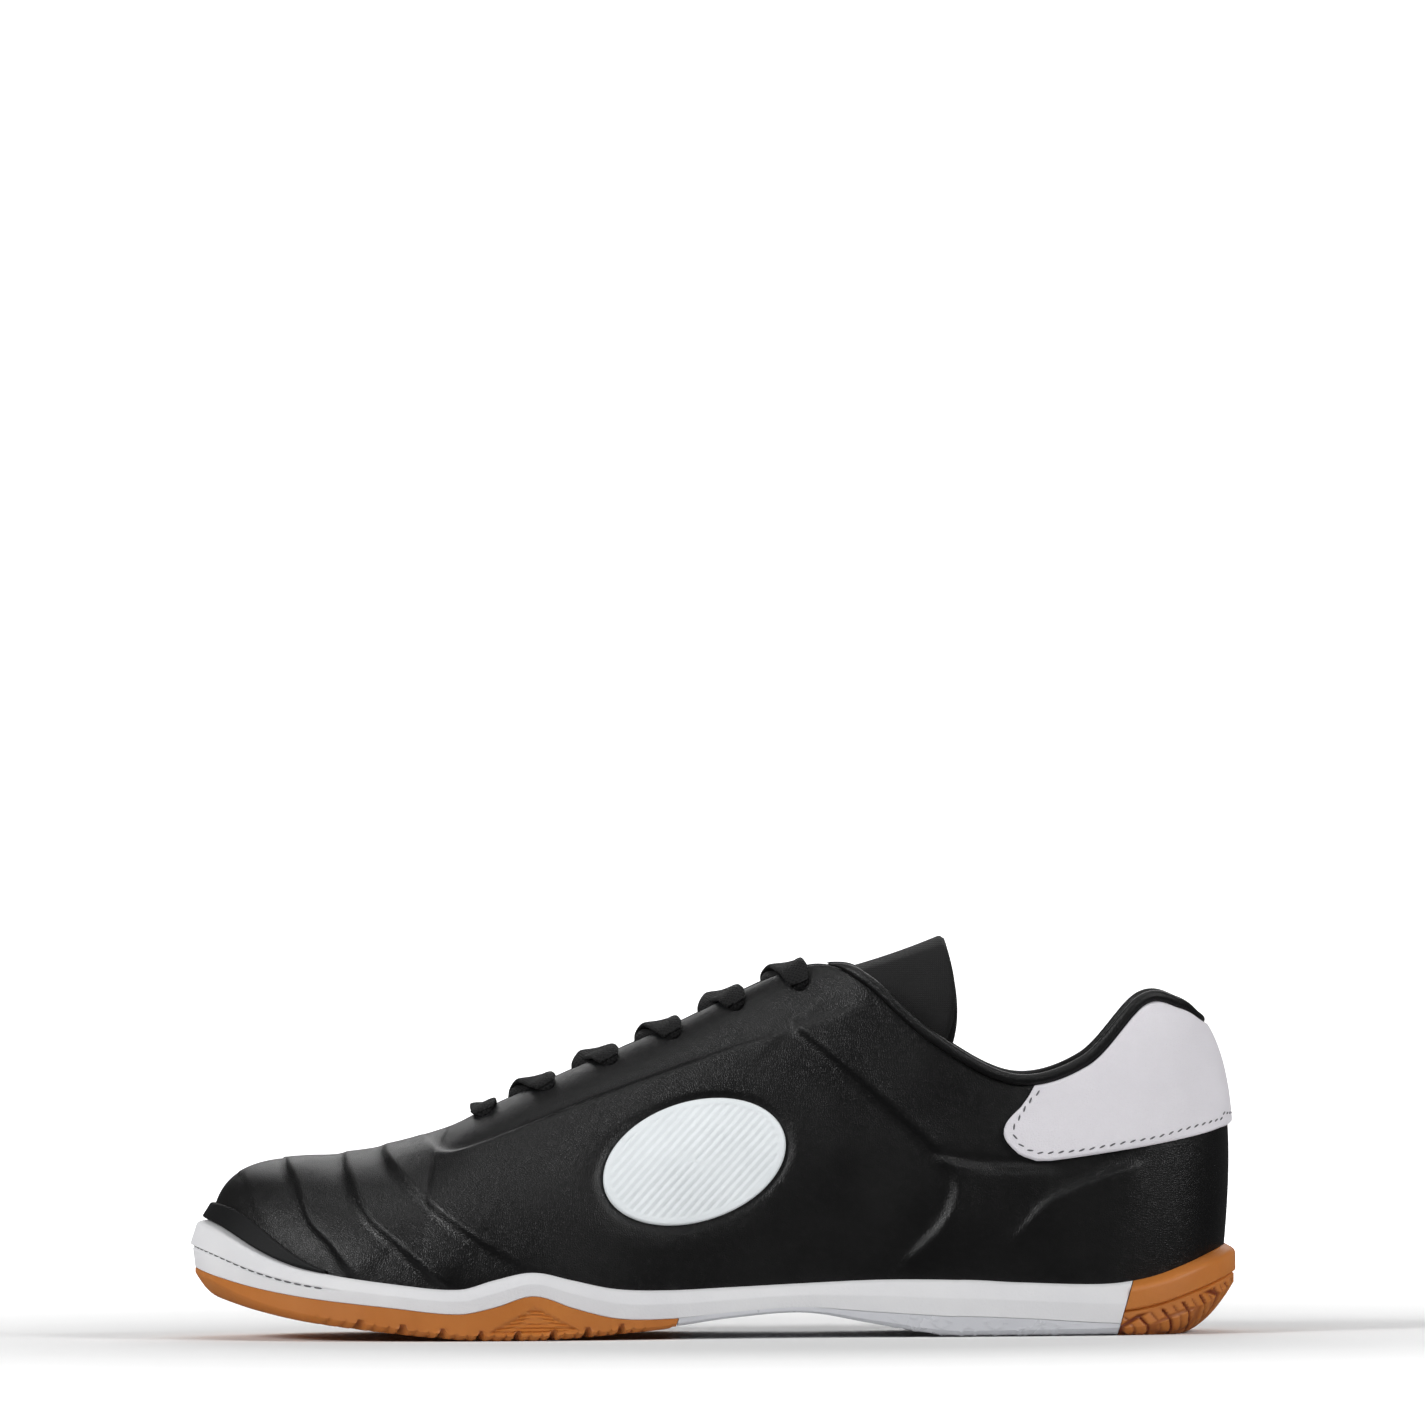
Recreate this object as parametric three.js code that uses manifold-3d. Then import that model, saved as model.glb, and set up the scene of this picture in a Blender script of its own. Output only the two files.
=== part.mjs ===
// An indoor soccer shoe for the left foot, in millimetres, standing on the plane z = 0.
// The toe points towards -X and the outer side of the foot faces -Y.
// A place on the shoe is worked out from s, the distance from the back of the heel towards the toe,
// and w, the distance from the middle line towards the outer side.
import * as THREE from "three";
import { mergeVertices } from "three/addons/utils/BufferGeometryUtils.js";
import Module from "manifold-3d";

const wasm = await Module();
wasm.setup();

// Driving sizes of the last and the sole
const length = 290; // outsole, back of the heel to tip of the toe
const ballWidth = 94; // feather line across the joints, without the sole's margin
const instepHeight = 103; // floor to the top corner of the throat
const heelHeight = 87; // floor to the collar at the back of the heel
const toeHeight = 50; // floor to the top of the toe box
const soleHeight = 15; // floor to the top edge of the midsole under the ankle
const toeSpring = 13; // floor to the underside at the tip of the toe
const archLift = 6.7; // floor to the underside at the waist
const soleMargin = 4.5; // how far the sole stands out past the feather line

// Thicknesses and clearances
const wall = 2; // leather with its lining
const clearance = 0.35; // between neighbouring pieces
const rimWidth = 2.6; // top edge of the midsole, seen from above
const treadWall = 2.6; // rubber where the outsole wraps up the side
const treadFloor = 3.2; // rubber under the foot
const insoleThickness = 4;
const bindingRadius = 1.5; // rolled edge of the collar
const overlayThickness = 1; // counter and toe guard
const badgeThickness = 0.8; // moulded pad on each side
const tongueThickness = 3.6;
const laceWidth = 7;
const laceThickness = 1.4;
const eyeletRadius = 1.9;

// Sections of the upper from the heel (first row) to the tip of the toe (last row).
// foot, top: where the section meets the sole and the top line, as shares of length.
// outer, inner, ridge, gap: half widths at the sole, middle of the top line and half its opening,
// as shares of ballWidth. height: share of the size that the last column names.
// rise, drop: handles of the section as shares of its height. bulge, swell: the same, sideways,
// as shares of ballWidth. reach: sideways handle of the top as a share of the section's width.
const sectionColumns = [
  "foot", "outer", "inner", "top", "ridge", "gap", "height",
  "rise", "bulge", "reach", "swell", "drop", "follows",
];
const sectionRows = [
  [0.0155, 0.0, 0.0, 0.0334, 0.0, 0.0, 1.0, 0.35, 0.033, 0.5, 0.091, 0.21, "heel"],
  [0.025, 0.144, 0.144, 0.0379, 0.0, 0.1, 1.012, 0.35, 0.032, 0.5, 0.078, 0.22, "heel"],
  [0.055, 0.255, 0.255, 0.0552, 0.0, 0.186, 1.055, 0.35, 0.028, 0.4, 0.058, 0.26, "heel"],
  [0.106, 0.324, 0.319, 0.0897, 0.0, 0.255, 1.067, 0.35, 0.024, 0.3, 0.042, 0.3, "heel"],
  [0.172, 0.356, 0.34, 0.145, 0.0, 0.298, 0.876, 0.38, 0.019, 0.3, 0.027, 0.32, "heel"],
  [0.248, 0.372, 0.338, 0.214, 0.005, 0.324, 0.818, 0.4, 0.017, 0.3, 0.021, 0.33, "heel"],
  [0.324, 0.376, 0.319, 0.29, 0.005, 0.314, 0.803, 0.4, 0.019, 0.35, 0.021, 0.3, "instep"],
  [0.386, 0.383, 0.306, 0.352, 0.0, 0.26, 0.957, 0.42, 0.021, 0.45, 0.016, 0.2, "instep"],
  [0.441, 0.399, 0.306, 0.391, -0.011, 0.191, 1.002, 0.42, 0.023, 0.5, 0.011, 0.14, "instep"],
  [0.503, 0.426, 0.324, 0.448, -0.021, 0.14, 0.962, 0.42, 0.027, 0.5, 0.0, 0.1, "instep"],
  [0.579, 0.471, 0.378, 0.541, -0.027, 0.112, 0.838, 0.42, 0.03, 0.48, 0.0, 0.08, "instep"],
  [0.655, 0.511, 0.445, 0.641, -0.032, 0.09, 0.716, 0.44, 0.032, 0.48, 0.0, 0.06, "instep"],
  [0.721, 0.517, 0.484, 0.714, -0.038, 0.075, 0.623, 0.48, 0.032, 0.5, 0.0, 0.03, "instep"],
  [0.779, 0.498, 0.496, 0.755, -0.045, 0.053, 1.17, 0.5, 0.03, 0.52, 0.0, 0.0, "toe"],
  [0.838, 0.45, 0.477, 0.814, -0.051, 0.0, 1.072, 0.54, 0.028, 0.55, 0.0, 0.0, "toe"],
  [0.892, 0.362, 0.42, 0.86, -0.056, 0.0, 1.026, 0.57, 0.024, 0.6, 0.0, 0.0, "toe"],
  [0.937, 0.245, 0.335, 0.89, -0.061, 0.0, 1.015, 0.6, 0.021, 0.68, 0.0, 0.0, "toe"],
  [0.9685, 0.101, 0.223, 0.909, -0.064, 0.0, 1.005, 0.62, 0.019, 0.78, 0.0, 0.0, "toe"],
  [0.9845, -0.064, 0.064, 0.917, -0.064, 0.0, 1.0, 0.62, 0.017, 0.84, 0.0, 0.0, "toe"],
];

// Sections of the sole. at: share of length. spring, arch: lift of the underside as shares of
// toeSpring and archLift. seam, rim, bed, round: top of the rubber, top edge of the midsole, place of
// the foot and rounding of the lower edge, all above the underside, as shares of soleHeight.
const soleColumns = ["at", "spring", "arch", "seam", "rim", "bed", "round"];
const soleRows = [
  [0.0, 0.0, 0.0, 0.21, 1.65, 0.79, 0.93],
  [0.038, 0.0, 0.0, 0.21, 1.34, 0.76, 0.47],
  [0.079, 0.0, 0.0, 0.21, 1.08, 0.74, 0.2],
  [0.124, 0.0, 0.0, 0.23, 0.96, 0.73, 0.13],
  [0.207, 0.0, 0.0, 0.33, 1.0, 0.72, 0.1],
  [0.276, 0.0, 0.02, 0.37, 1.05, 0.71, 0.09],
  [0.345, 0.0, 0.49, 0.25, 0.85, 0.49, 0.07],
  [0.414, 0.0, 1.0, 0.11, 0.57, 0.25, 0.04],
  [0.483, 0.0, 0.82, 0.11, 0.59, 0.29, 0.04],
  [0.545, 0.0, 0.45, 0.18, 0.71, 0.41, 0.06],
  [0.593, 0.0, 0.24, 0.29, 0.84, 0.48, 0.08],
  [0.634, 0.0, 0.09, 0.55, 1.07, 0.54, 0.09],
  [0.672, 0.0, 0.0, 0.82, 1.26, 0.57, 0.09],
  [0.71, 0.0, 0.0, 0.62, 1.13, 0.57, 0.09],
  [0.745, 0.03, 0.0, 0.47, 0.93, 0.57, 0.09],
  [0.81, 0.17, 0.0, 0.47, 0.91, 0.55, 0.11],
  [0.89, 0.4, 0.0, 0.45, 0.94, 0.55, 0.15],
  [0.941, 0.64, 0.0, 0.42, 1.01, 0.54, 0.2],
  [0.983, 0.9, 0.0, 0.41, 1.16, 0.55, 0.31],
  [1.0, 1.0, 0.0, 0.44, 1.19, 0.57, 0.35],
];

const throatRow = 12; // last open section of the throat, counted from the heel
const cornerRow = 8; // where the collar's binding ends and the throat begins
const ballRow = 10; // where the foot begins to widen towards the ball
const lastRow = sectionRows.length - 1;
const turn = 2 * lastRow; // sections right round the shoe, out along one side and back along the other

const named = (columns, rows) =>
  rows.map((row) => Object.fromEntries(columns.map((name, i) => [name, row[i]])));
const sections = named(sectionColumns, sectionRows);
const soleSections = named(soleColumns, soleRows);
const heights = { heel: heelHeight, instep: instepHeight, toe: toeHeight };
const clamp = THREE.MathUtils.clamp;
const mix = THREE.MathUtils.lerp;
const ease = THREE.MathUtils.smoothstep;
const up = new THREE.Vector3(0, 0, 1);

// The loop of one value right round the shoe: along the outer side to the toe, back along the inner.
function ring(outer, inner) {
  const there = sections.map(outer);
  const back = sections.slice(1, -1).map(inner).reverse();
  return [...there, ...back];
}
const same = (value) => ring(value, value);
const loops = {
  foot: same((row) => row.foot * length),
  footSide: ring((row) => row.outer * ballWidth, (row) => -row.inner * ballWidth),
  top: same((row) => row.top * length),
  ridge: same((row) => row.ridge * ballWidth),
  topSide: ring(
    (row) => (row.ridge + row.gap) * ballWidth,
    (row) => (row.ridge - row.gap) * ballWidth,
  ),
  height: same((row) => row.height * heights[row.follows]),
  rise: same((row) => row.rise),
  bulge: same((row) => row.bulge * ballWidth),
  reach: same((row) => row.reach),
  swell: same((row) => row.swell * ballWidth),
  drop: same((row) => row.drop),
};

// Smooth value of a loop at p, counted in sections round the shoe: a uniform Catmull-Rom curve.
function loopAt(values, p) {
  const n = values.length;
  const i = Math.floor(p);
  const t = p - i;
  const [a, b, c, d] = [-1, 0, 1, 2].map((k) => values[(((i + k) % n) + n) % n]);
  return b + 0.5 * t * (c - a + t * (2 * a - 5 * b + 4 * c - d + t * (3 * (b - c) + d - a)));
}

// Smooth value of a column of the sole's table at s, by cubic pieces with the mean slopes at the rows.
function soleAt(column, s) {
  const rows = soleSections;
  const last = rows.length - 1;
  const at = clamp(s / length, 0, 1);
  let i = 0;
  while (i < last - 1 && at > rows[i + 1].at) i += 1;
  const slope = (k) => {
    const [a, b] = [rows[Math.max(k - 1, 0)], rows[Math.min(k + 1, last)]];
    return (b[column] - a[column]) / (b.at - a.at);
  };
  const span = rows[i + 1].at - rows[i].at;
  const t = (at - rows[i].at) / span;
  const [t2, t3] = [t * t, t * t * t];
  return (
    rows[i][column] * (2 * t3 - 3 * t2 + 1) +
    slope(i) * span * (t3 - 2 * t2 + t) +
    rows[i + 1][column] * (3 * t2 - 2 * t3) +
    slope(i + 1) * span * (t3 - t2)
  );
}
const floorShare = 0.8; // most of the rubber's height that its floor takes, where the rubber is low
function underside(s) {
  const spring = toeSpring * Math.max(soleAt("spring", s), 0);
  return spring + archLift * Math.max(soleAt("arch", s), 0);
}
const seamHeight = (s) => underside(s) + soleHeight * soleAt("seam", s);
const rimHeight = (s) => underside(s) + soleHeight * soleAt("rim", s);
const bedHeight = (s) => underside(s) + soleHeight * soleAt("bed", s);
const roundHeight = (s) => soleHeight * soleAt("round", s);
const floorTop = (s) => underside(s) + Math.min(floorShare * (seamHeight(s) - underside(s)), treadFloor);

// The object's middle lies halfway between the widest points of the two sides.
const widest = (side) => Math.max(...loops.footSide.map((w) => side * w));
const middle = (widest(1) - widest(-1)) / 2;
const place = (s, w, z) => new THREE.Vector3(length / 2 - s, middle - w, z);
const alongOf = (point) => length / 2 - point.x;

// Row number, 0 at the heel to lastRow at the toe, of a loop place p on either side.
const rowOf = (p) => {
  const q = ((p % turn) + turn) % turn;
  return Math.min(q, turn - q);
};

// Loop place of a row on one side: 1 is the outer side of the shoe, -1 the inner.
const onSide = (row, side) => (side > 0 ? row : turn - row);

// Where the section at p meets the foot bed.
function feather(p) {
  const s = loopAt(loops.foot, p);
  return place(s, loopAt(loops.footSide, p), bedHeight(s) + clearance);
}

// Small steps from which slopes and directions are worked out, in sections and in v.
const stepAlong = 0.05;
const stepUp = 0.02;

// Level direction out of the shoe at p: square to the feather line.
function outward(p) {
  const along = feather(p + stepAlong).sub(feather(p - stepAlong));
  return new THREE.Vector3(-along.y, along.x, 0).normalize();
}

// Point level with the feather line and a distance outside it, at height z.
const fromFeather = (p, out, z) => feather(p).addScaledVector(outward(p), out).setZ(z);
const rimAt = (p) => rimHeight(alongOf(fromFeather(p, soleMargin, 0)));

// How open the top line is at a row: 1 along collar and throat, a round end, then 0 on the closed vamp.
const openness = (row) => Math.sqrt(1 - clamp(row - throatRow, 0, 1) ** 2);
const vampRow = throatRow + 1; // first section of the closed vamp
const hair = 0.001; // so small a part of a section or of v makes no difference

// Top line at p: middle of the collar's binding, edge of the throat, or ridge of the vamp.
function topLine(p) {
  const ridge = loopAt(loops.ridge, p);
  const side = ridge + (loopAt(loops.topSide, p) - ridge) * openness(rowOf(p));
  return place(loopAt(loops.top, p), side, loopAt(loops.height, p));
}

// The four control points of the section at p, a cubic curve from the foot bed up to the top line.
const ridgeEnd = 1.5; // the slope of the ridge is taken no nearer than this to the last section
function sectionHandles(p) {
  const foot = feather(p);
  const top = topLine(p);
  const out = outward(p);
  const tall = top.z - foot.z;
  const level = foot.clone().sub(top).setZ(0);
  const low = foot.clone().addScaledVector(out, loopAt(loops.bulge, p));
  low.z += loopAt(loops.rise, p) * tall;
  const sideways = level.multiplyScalar(loopAt(loops.reach, p));
  const high = top.clone().add(sideways).addScaledVector(out, loopAt(loops.swell, p));
  high.z -= loopAt(loops.drop, p) * tall;
  // On the closed vamp the handle follows the slope of the ridge, so that both sides meet smoothly.
  const q = clamp(rowOf(p), throatRow, lastRow - ridgeEnd);
  const change = (values) => loopAt(values, q + stepAlong) - loopAt(values, q - stepAlong);
  const slope = change(loops.height) / change(loops.top);
  high.z -= (1 - openness(rowOf(p))) * slope * sideways.x;
  return [foot, low, high, top];
}

// Point of the upper's outer face: p round the shoe, v from the foot bed (0) to the top line (1).
function skin(p, v) {
  const [a, b, c, d] = sectionHandles(p);
  const u = 1 - v;
  return new THREE.Vector3()
    .addScaledVector(a, u * u * u)
    .addScaledVector(b, 3 * u * u * v)
    .addScaledVector(c, 3 * u * v * v)
    .addScaledVector(d, v * v * v);
}

// Direction out of the upper's outer face. On the closed ridge it is the mean of both sides.
function skinNormal(p, v) {
  const at = clamp(v, stepUp, 1 - 2 * stepUp);
  const along = skin(p + stepAlong, at).sub(skin(p - stepAlong, at));
  const across = skin(p, at + stepUp).sub(skin(p, at - stepUp));
  const normal = along.cross(across).normalize();
  if (normal.dot(outward(p)) + normal.z < 0) normal.negate();
  return normal;
}
function normalAt(p, v) {
  const normal = skinNormal(p, v);
  const onRidge = v > 1 - hair && rowOf(p) > vampRow - hair;
  return onRidge ? normal.add(skinNormal(turn - p, v)).normalize() : normal;
}
const offset = (p, v, out) => skin(p, v).addScaledVector(normalAt(p, v), out);

// The value between two ends at which a test that holds at the low end stops holding, by halving.
const halvings = 28;
function turning(from, to, holds) {
  let [low, high] = [from, to];
  for (let k = 0; k < halvings; k += 1) {
    const half = (low + high) / 2;
    if (holds(half)) low = half;
    else high = half;
  }
  return high;
}

// The v at which the section at p reaches height z.
const levelAt = (p, z) => turning(0, 1, (v) => skin(p, v).z < z);

// The v at which the section at p is a distance of back from the top line, square to that line.
function shortOfTop(p, back) {
  const top = topLine(p);
  const along = topLine(p + stepAlong).sub(topLine(p - stepAlong)).normalize();
  return turning(0, 1, (v) => skin(p, v).sub(top).cross(along).length() > back);
}

// Where the leather ends: below the binding along the collar, at the top line elsewhere.
const bindingFade = 0.5; // sections on each side of the corner over which one becomes the other
function edgeAt(p) {
  const bound = 1 - ease(rowOf(p), cornerRow - bindingFade, cornerRow + bindingFade);
  return mix(1, shortOfTop(p, bindingRadius + clearance), bound);
}

// A geometry with points closer than a distance made one, and the triangles that this closes up left out.
function welded(geometry, distance) {
  const merged = mergeVertices(geometry, distance);
  const index = merged.index.array;
  const kept = [];
  for (let i = 0; i < index.length; i += 3) {
    const [a, b, c] = [index[i], index[i + 1], index[i + 2]];
    if (a !== b && b !== c && a !== c) kept.push([a, b, c]);
  }
  return { points: merged.attributes.position.array, triangles: kept };
}

// Solid from triangles in any order, all pointing out or all pointing in
const weld = 0.001;
function solid(triangles) {
  const flat = triangles.flatMap((t) => t.flatMap((point) => [point.x, point.y, point.z]));
  const loose = new THREE.BufferGeometry();
  loose.setAttribute("position", new THREE.Float32BufferAttribute(flat, 3));
  const { points, triangles: faces } = welded(loose, weld);
  const made = (list) =>
    new wasm.Manifold(
      new wasm.Mesh({ numProp: 3, vertProperties: points, triVerts: new Uint32Array(list.flat()) }),
    );
  const body = made(faces);
  return body.volume() > 0 ? body : made(faces.map(([a, b, c]) => [b, a, c]));
}
const fromGeometry = (geometry) => {
  const loose = geometry.index ? geometry.toNonIndexed() : geometry;
  const at = loose.attributes.position;
  const corner = (i) => new THREE.Vector3().fromBufferAttribute(at, i);
  const triangles = [];
  for (let i = 0; i < at.count; i += 3) triangles.push([corner(i), corner(i + 1), corner(i + 2)]);
  return solid(triangles);
};
// Two triangles over a quadrilateral, split along its shorter diagonal.
const quad = (a, b, c, d) =>
  a.distanceTo(c) < b.distanceTo(d) + 1e-6 ? [[a, b, c], [a, c, d]] : [[a, b, d], [b, c, d]];

// Places from one loop place to another, at every share of a row.
function places(from, to, perRow) {
  const count = Math.round((to - from) * perRow);
  return Array.from({ length: count + 1 }, (_, k) => from + (k * (to - from)) / count);
}
const shares = (count) => Array.from({ length: count + 1 }, (_, k) => k / count);

// Columns of the faces, by stretches of rows: closer together round the heel, the ball and the toe.
const stretches = [
  { from: 0, to: 3, perRow: 3 },
  { from: 3, to: cornerRow, perRow: 1.6 },
  { from: cornerRow, to: ballRow, perRow: 1.5 },
  { from: ballRow, to: throatRow, perRow: 2.5 },
  { from: throatRow, to: vampRow, perRow: 3 },
  { from: vampRow, to: lastRow, perRow: 2.2 },
];
const outerColumns = [0, ...stretches.flatMap(({ from, to, perRow }) => places(from, to, perRow).slice(1))];
const columns = [...outerColumns, ...outerColumns.slice(1, -1).map((p) => turn - p).reverse()];

// Body of a closed round of profiles: each profile runs from the middle line out and back to it.
function roundBody(profileAt) {
  const profiles = columns.map(profileAt);
  return solid(
    profiles.flatMap((profile, i) => {
      const next = profiles[(i + 1) % profiles.length];
      return profile
        .slice(1)
        .flatMap((point, j) => quad(profile[j], next[j], next[j + 1], point));
    }),
  );
}

// Shell between an outer and an inner grid of points, [column][row], with its edges closed.
// A round shell's last column joins its first. topOpen says whether a column's top edge is free.
function shell(outer, inner, { around = false, topOpen = () => true } = {}) {
  const count = outer.length;
  const rows = outer[0].length - 1;
  const triangles = [];
  for (let i = 0; i < (around ? count : count - 1); i += 1) {
    const k = (i + 1) % count;
    for (let j = 0; j < rows; j += 1) {
      triangles.push(...quad(outer[i][j], outer[k][j], outer[k][j + 1], outer[i][j + 1]));
      triangles.push(...quad(inner[i][j + 1], inner[k][j + 1], inner[k][j], inner[i][j]));
    }
    triangles.push(...quad(inner[i][0], inner[k][0], outer[k][0], outer[i][0]));
    if (topOpen(i)) {
      triangles.push(...quad(outer[i][rows], outer[k][rows], inner[k][rows], inner[i][rows]));
    }
  }
  if (!around) {
    const end = count - 1;
    for (let j = 0; j < rows; j += 1) {
      triangles.push(...quad(outer[0][j], outer[0][j + 1], inner[0][j + 1], inner[0][j]));
      triangles.push(...quad(inner[end][j], inner[end][j + 1], outer[end][j + 1], outer[end][j]));
    }
  }
  return solid(triangles);
}

// Bar with a ring of points at each place of its path, closed at both ends.
function swept(rings) {
  const triangles = [];
  const sides = rings[0].length;
  for (let i = 0; i < rings.length - 1; i += 1) {
    for (let j = 0; j < sides; j += 1) {
      const k = (j + 1) % sides;
      triangles.push(...quad(rings[i][j], rings[i][k], rings[i + 1][k], rings[i + 1][j]));
    }
  }
  const [first, last] = [rings[0], rings[rings.length - 1]];
  for (let j = 1; j < sides - 1; j += 1) {
    triangles.push([first[0], first[j + 1], first[j]], [last[0], last[j], last[j + 1]]);
  }
  return solid(triangles);
}

// Block that covers the shoe between two distances from the heel, its front face leaning by lean.
function between(from, to, lean = 0) {
  const [high, wide] = [3 * instepHeight, 3 * ballWidth];
  const shape = new THREE.Shape([
    new THREE.Vector2(length / 2 - from, -high),
    new THREE.Vector2(length / 2 - from, high),
    new THREE.Vector2(length / 2 - to + lean * high, high),
    new THREE.Vector2(length / 2 - to - lean * high, -high),
  ]);
  const block = new THREE.ExtrudeGeometry(shape, { depth: wide, bevelEnabled: false });
  block.rotateX(Math.PI / 2).translate(0, wide / 2, 0);
  return fromGeometry(block);
}

// Upper: one hollow wall from the foot bed to the collar and throat, closed over the vamp
const upperLevels = [0, 0.14, 0.3, 0.47, 0.64, 0.82, 1];
const isClosed = (i) => {
  const row = (k) => rowOf(columns[k % columns.length]);
  return Math.min(row(i), row(i + 1)) > vampRow - hair;
};
function upperWall(outerOffset, innerOffset) {
  const face = (out) =>
    columns.map((p) => {
      const edge = edgeAt(p);
      return upperLevels.map((v) => offset(p, v * edge, out));
    });
  return shell(face(outerOffset), face(innerOffset), { around: true, topOpen: (i) => !isClosed(i) });
}

// Eyelets: one row of holes on each side of the throat, evenly spaced along it
const eyeletRows = 6;
const firstEyelet = 0.416; // nearest the ankle, share of length
const lastEyelet = 0.72; // nearest the toe
const eyeletInset = 7.5; // from the edge of the throat

// Loop place and level of an eyelet, or of a point beside it at another inset from the throat.
function eyeletPlace(number, side, inset = eyeletInset) {
  const wanted = length * mix(firstEyelet, lastEyelet, number / (eyeletRows - 1));
  const short = (row) => {
    const p = onSide(row, side);
    return alongOf(skin(p, shortOfTop(p, inset))) < wanted;
  };
  const p = onSide(turning(cornerRow - 1, vampRow, short), side);
  return { p, v: shortOfTop(p, inset) };
}
const eyeletSides = 6;
function eyeletPunch(number, side) {
  const { p, v } = eyeletPlace(number, side);
  const punch = new THREE.CylinderGeometry(eyeletRadius, eyeletRadius, 6 * wall, eyeletSides);
  const axis = new THREE.Vector3(0, 1, 0);
  punch.applyQuaternion(new THREE.Quaternion().setFromUnitVectors(axis, normalAt(p, v)));
  const at = offset(p, v, -wall / 2);
  return fromGeometry(punch.translate(at.x, at.y, at.z));
}
function upperSolid() {
  let made = upperWall(0, -wall);
  for (let number = 0; number < eyeletRows; number += 1) {
    for (const side of [1, -1]) made = made.subtract(eyeletPunch(number, side));
  }
  return made;
}

// Collar binding: a rolled edge from one corner of the throat round the heel to the other
const bindingSides = 6;
const bindingTaper = 0.55; // share of its radius that it loses towards its two ends
const taperRows = 0.8; // sections over which it does
function bindingSolid() {
  const half = outerColumns.filter((p) => p <= cornerRow);
  const rings = [...half.slice(1).map((p) => -p).reverse(), ...half].map((p) => {
    const thin = 1 - bindingTaper * ease(rowOf(p), cornerRow - taperRows, cornerRow);
    const centre = skin(p, 1);
    const along = skin(p + 2 * stepAlong, 1).sub(skin(p - 2 * stepAlong, 1)).normalize();
    const out = normalAt(p, 1);
    const rise = along.clone().cross(out).normalize();
    return shares(bindingSides).slice(0, -1).map((share) => {
      const angle = 2 * Math.PI * share;
      return centre
        .clone()
        .addScaledVector(out, bindingRadius * thin * Math.cos(angle))
        .addScaledVector(rise, bindingRadius * thin * Math.sin(angle));
    });
  });
  return swept(rings);
}

// Heel counter: an overlay round the heel under the binding, with round front corners
const counterRow = 5; // section of its foremost point
const counterCorner = 0.45; // sections over which its front is rounded
const counterFront = 0.65; // height of the foremost point, share of heelHeight
const counterClose = 0.96; // how far its front corners close on that point
const counterLow = [0.671, 0.655, 0.627, 0.595, 0.565, 0.553]; // lower edge, share of heelHeight
function lineAt(values, row) {
  const i = Math.min(Math.floor(row), values.length - 2);
  return mix(values[i], values[i + 1], row - i);
}
function counterSolid() {
  const face = (out) =>
    places(-counterRow, counterRow, 3).map((p) => {
      const row = rowOf(p);
      const front = clamp((row - counterRow + counterCorner) / counterCorner, 0, 1);
      const close = 1 - Math.sqrt(1 - front * front);
      const nose = levelAt(p, counterFront * heelHeight);
      const low = mix(levelAt(p, lineAt(counterLow, row) * heelHeight), nose, counterClose * close);
      const high = mix(shortOfTop(p, bindingRadius + 2 * clearance), nose, counterClose * close);
      return shares(3).map((share) => offset(p, mix(low, high, share), out));
    });
  return shell(face(clearance + overlayThickness), face(clearance));
}

// Toe guard: an overlay round the toe above the midsole, lower towards the sides
const guardRow = 14.6; // section where its upper edge meets the midsole
const guardHeight = 0.75; // upper edge at the tip, share of toeHeight
const guardCurve = 0.8; // below 1 its upper edge climbs early and is level at the tip
function guardSolid() {
  const face = (out) =>
    places(guardRow, turn - guardRow, 3).map((p) => {
      const rim = rimAt(p);
      const share = ease(rowOf(p), guardRow, lastRow);
      const top = mix(rim + 4 * clearance, guardHeight * toeHeight, share ** guardCurve);
      const [low, high] = [levelAt(p, rim + 1.5 * clearance), levelAt(p, top)];
      return shares(2).map((level) => offset(p, mix(low, high, level), out));
    });
  return shell(face(clearance + overlayThickness), face(clearance));
}

// Side pads: a plain slanted oval, moulded onto each side
const padCentre = { along: 0.519, height: 0.476 }; // shares of length and instepHeight
const padLength = 52;
const padHeight = 33;
const padTilt = 0.3; // radians, the heel end higher

// Loop place and level of the skin at distance s from the heel and height z, on one side.
function skinPlace(s, z, side) {
  const short = (row) => {
    const p = onSide(row, side);
    return alongOf(skin(p, levelAt(p, z))) < s;
  };
  const p = onSide(turning(1, throatRow, short), side);
  return { p, v: levelAt(p, z) };
}
const padSpokes = 20;
function padSolid(side) {
  const centre = [padCentre.along * length, padCentre.height * instepHeight];
  const pointAt = (share, angle, out) => {
    const [a, b] = [(padLength / 2) * share * Math.cos(angle), (padHeight / 2) * share * Math.sin(angle)];
    const s = centre[0] + a * Math.cos(padTilt) + b * Math.sin(padTilt);
    const z = centre[1] - a * Math.sin(padTilt) + b * Math.cos(padTilt);
    const { p, v } = skinPlace(s, z, side);
    return offset(p, v, out);
  };
  const face = (out) =>
    shares(padSpokes).slice(0, -1).map((turnShare) =>
      shares(2).map((share) => pointAt(share, 2 * Math.PI * turnShare, out)),
    );
  const [outer, inner] = [face(clearance + badgeThickness), face(clearance)];
  // The rim is the last row of the grid, so the first row, all at the centre, needs no edge.
  const triangles = [];
  for (let i = 0; i < padSpokes; i += 1) {
    const k = (i + 1) % padSpokes;
    for (let j = 0; j < 2; j += 1) {
      triangles.push(...quad(outer[i][j], outer[i][j + 1], outer[k][j + 1], outer[k][j]));
      triangles.push(...quad(inner[i][j], inner[k][j], inner[k][j + 1], inner[i][j + 1]));
    }
    triangles.push(...quad(outer[i][2], inner[i][2], inner[k][2], outer[k][2]));
  }
  return solid(triangles);
}

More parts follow.
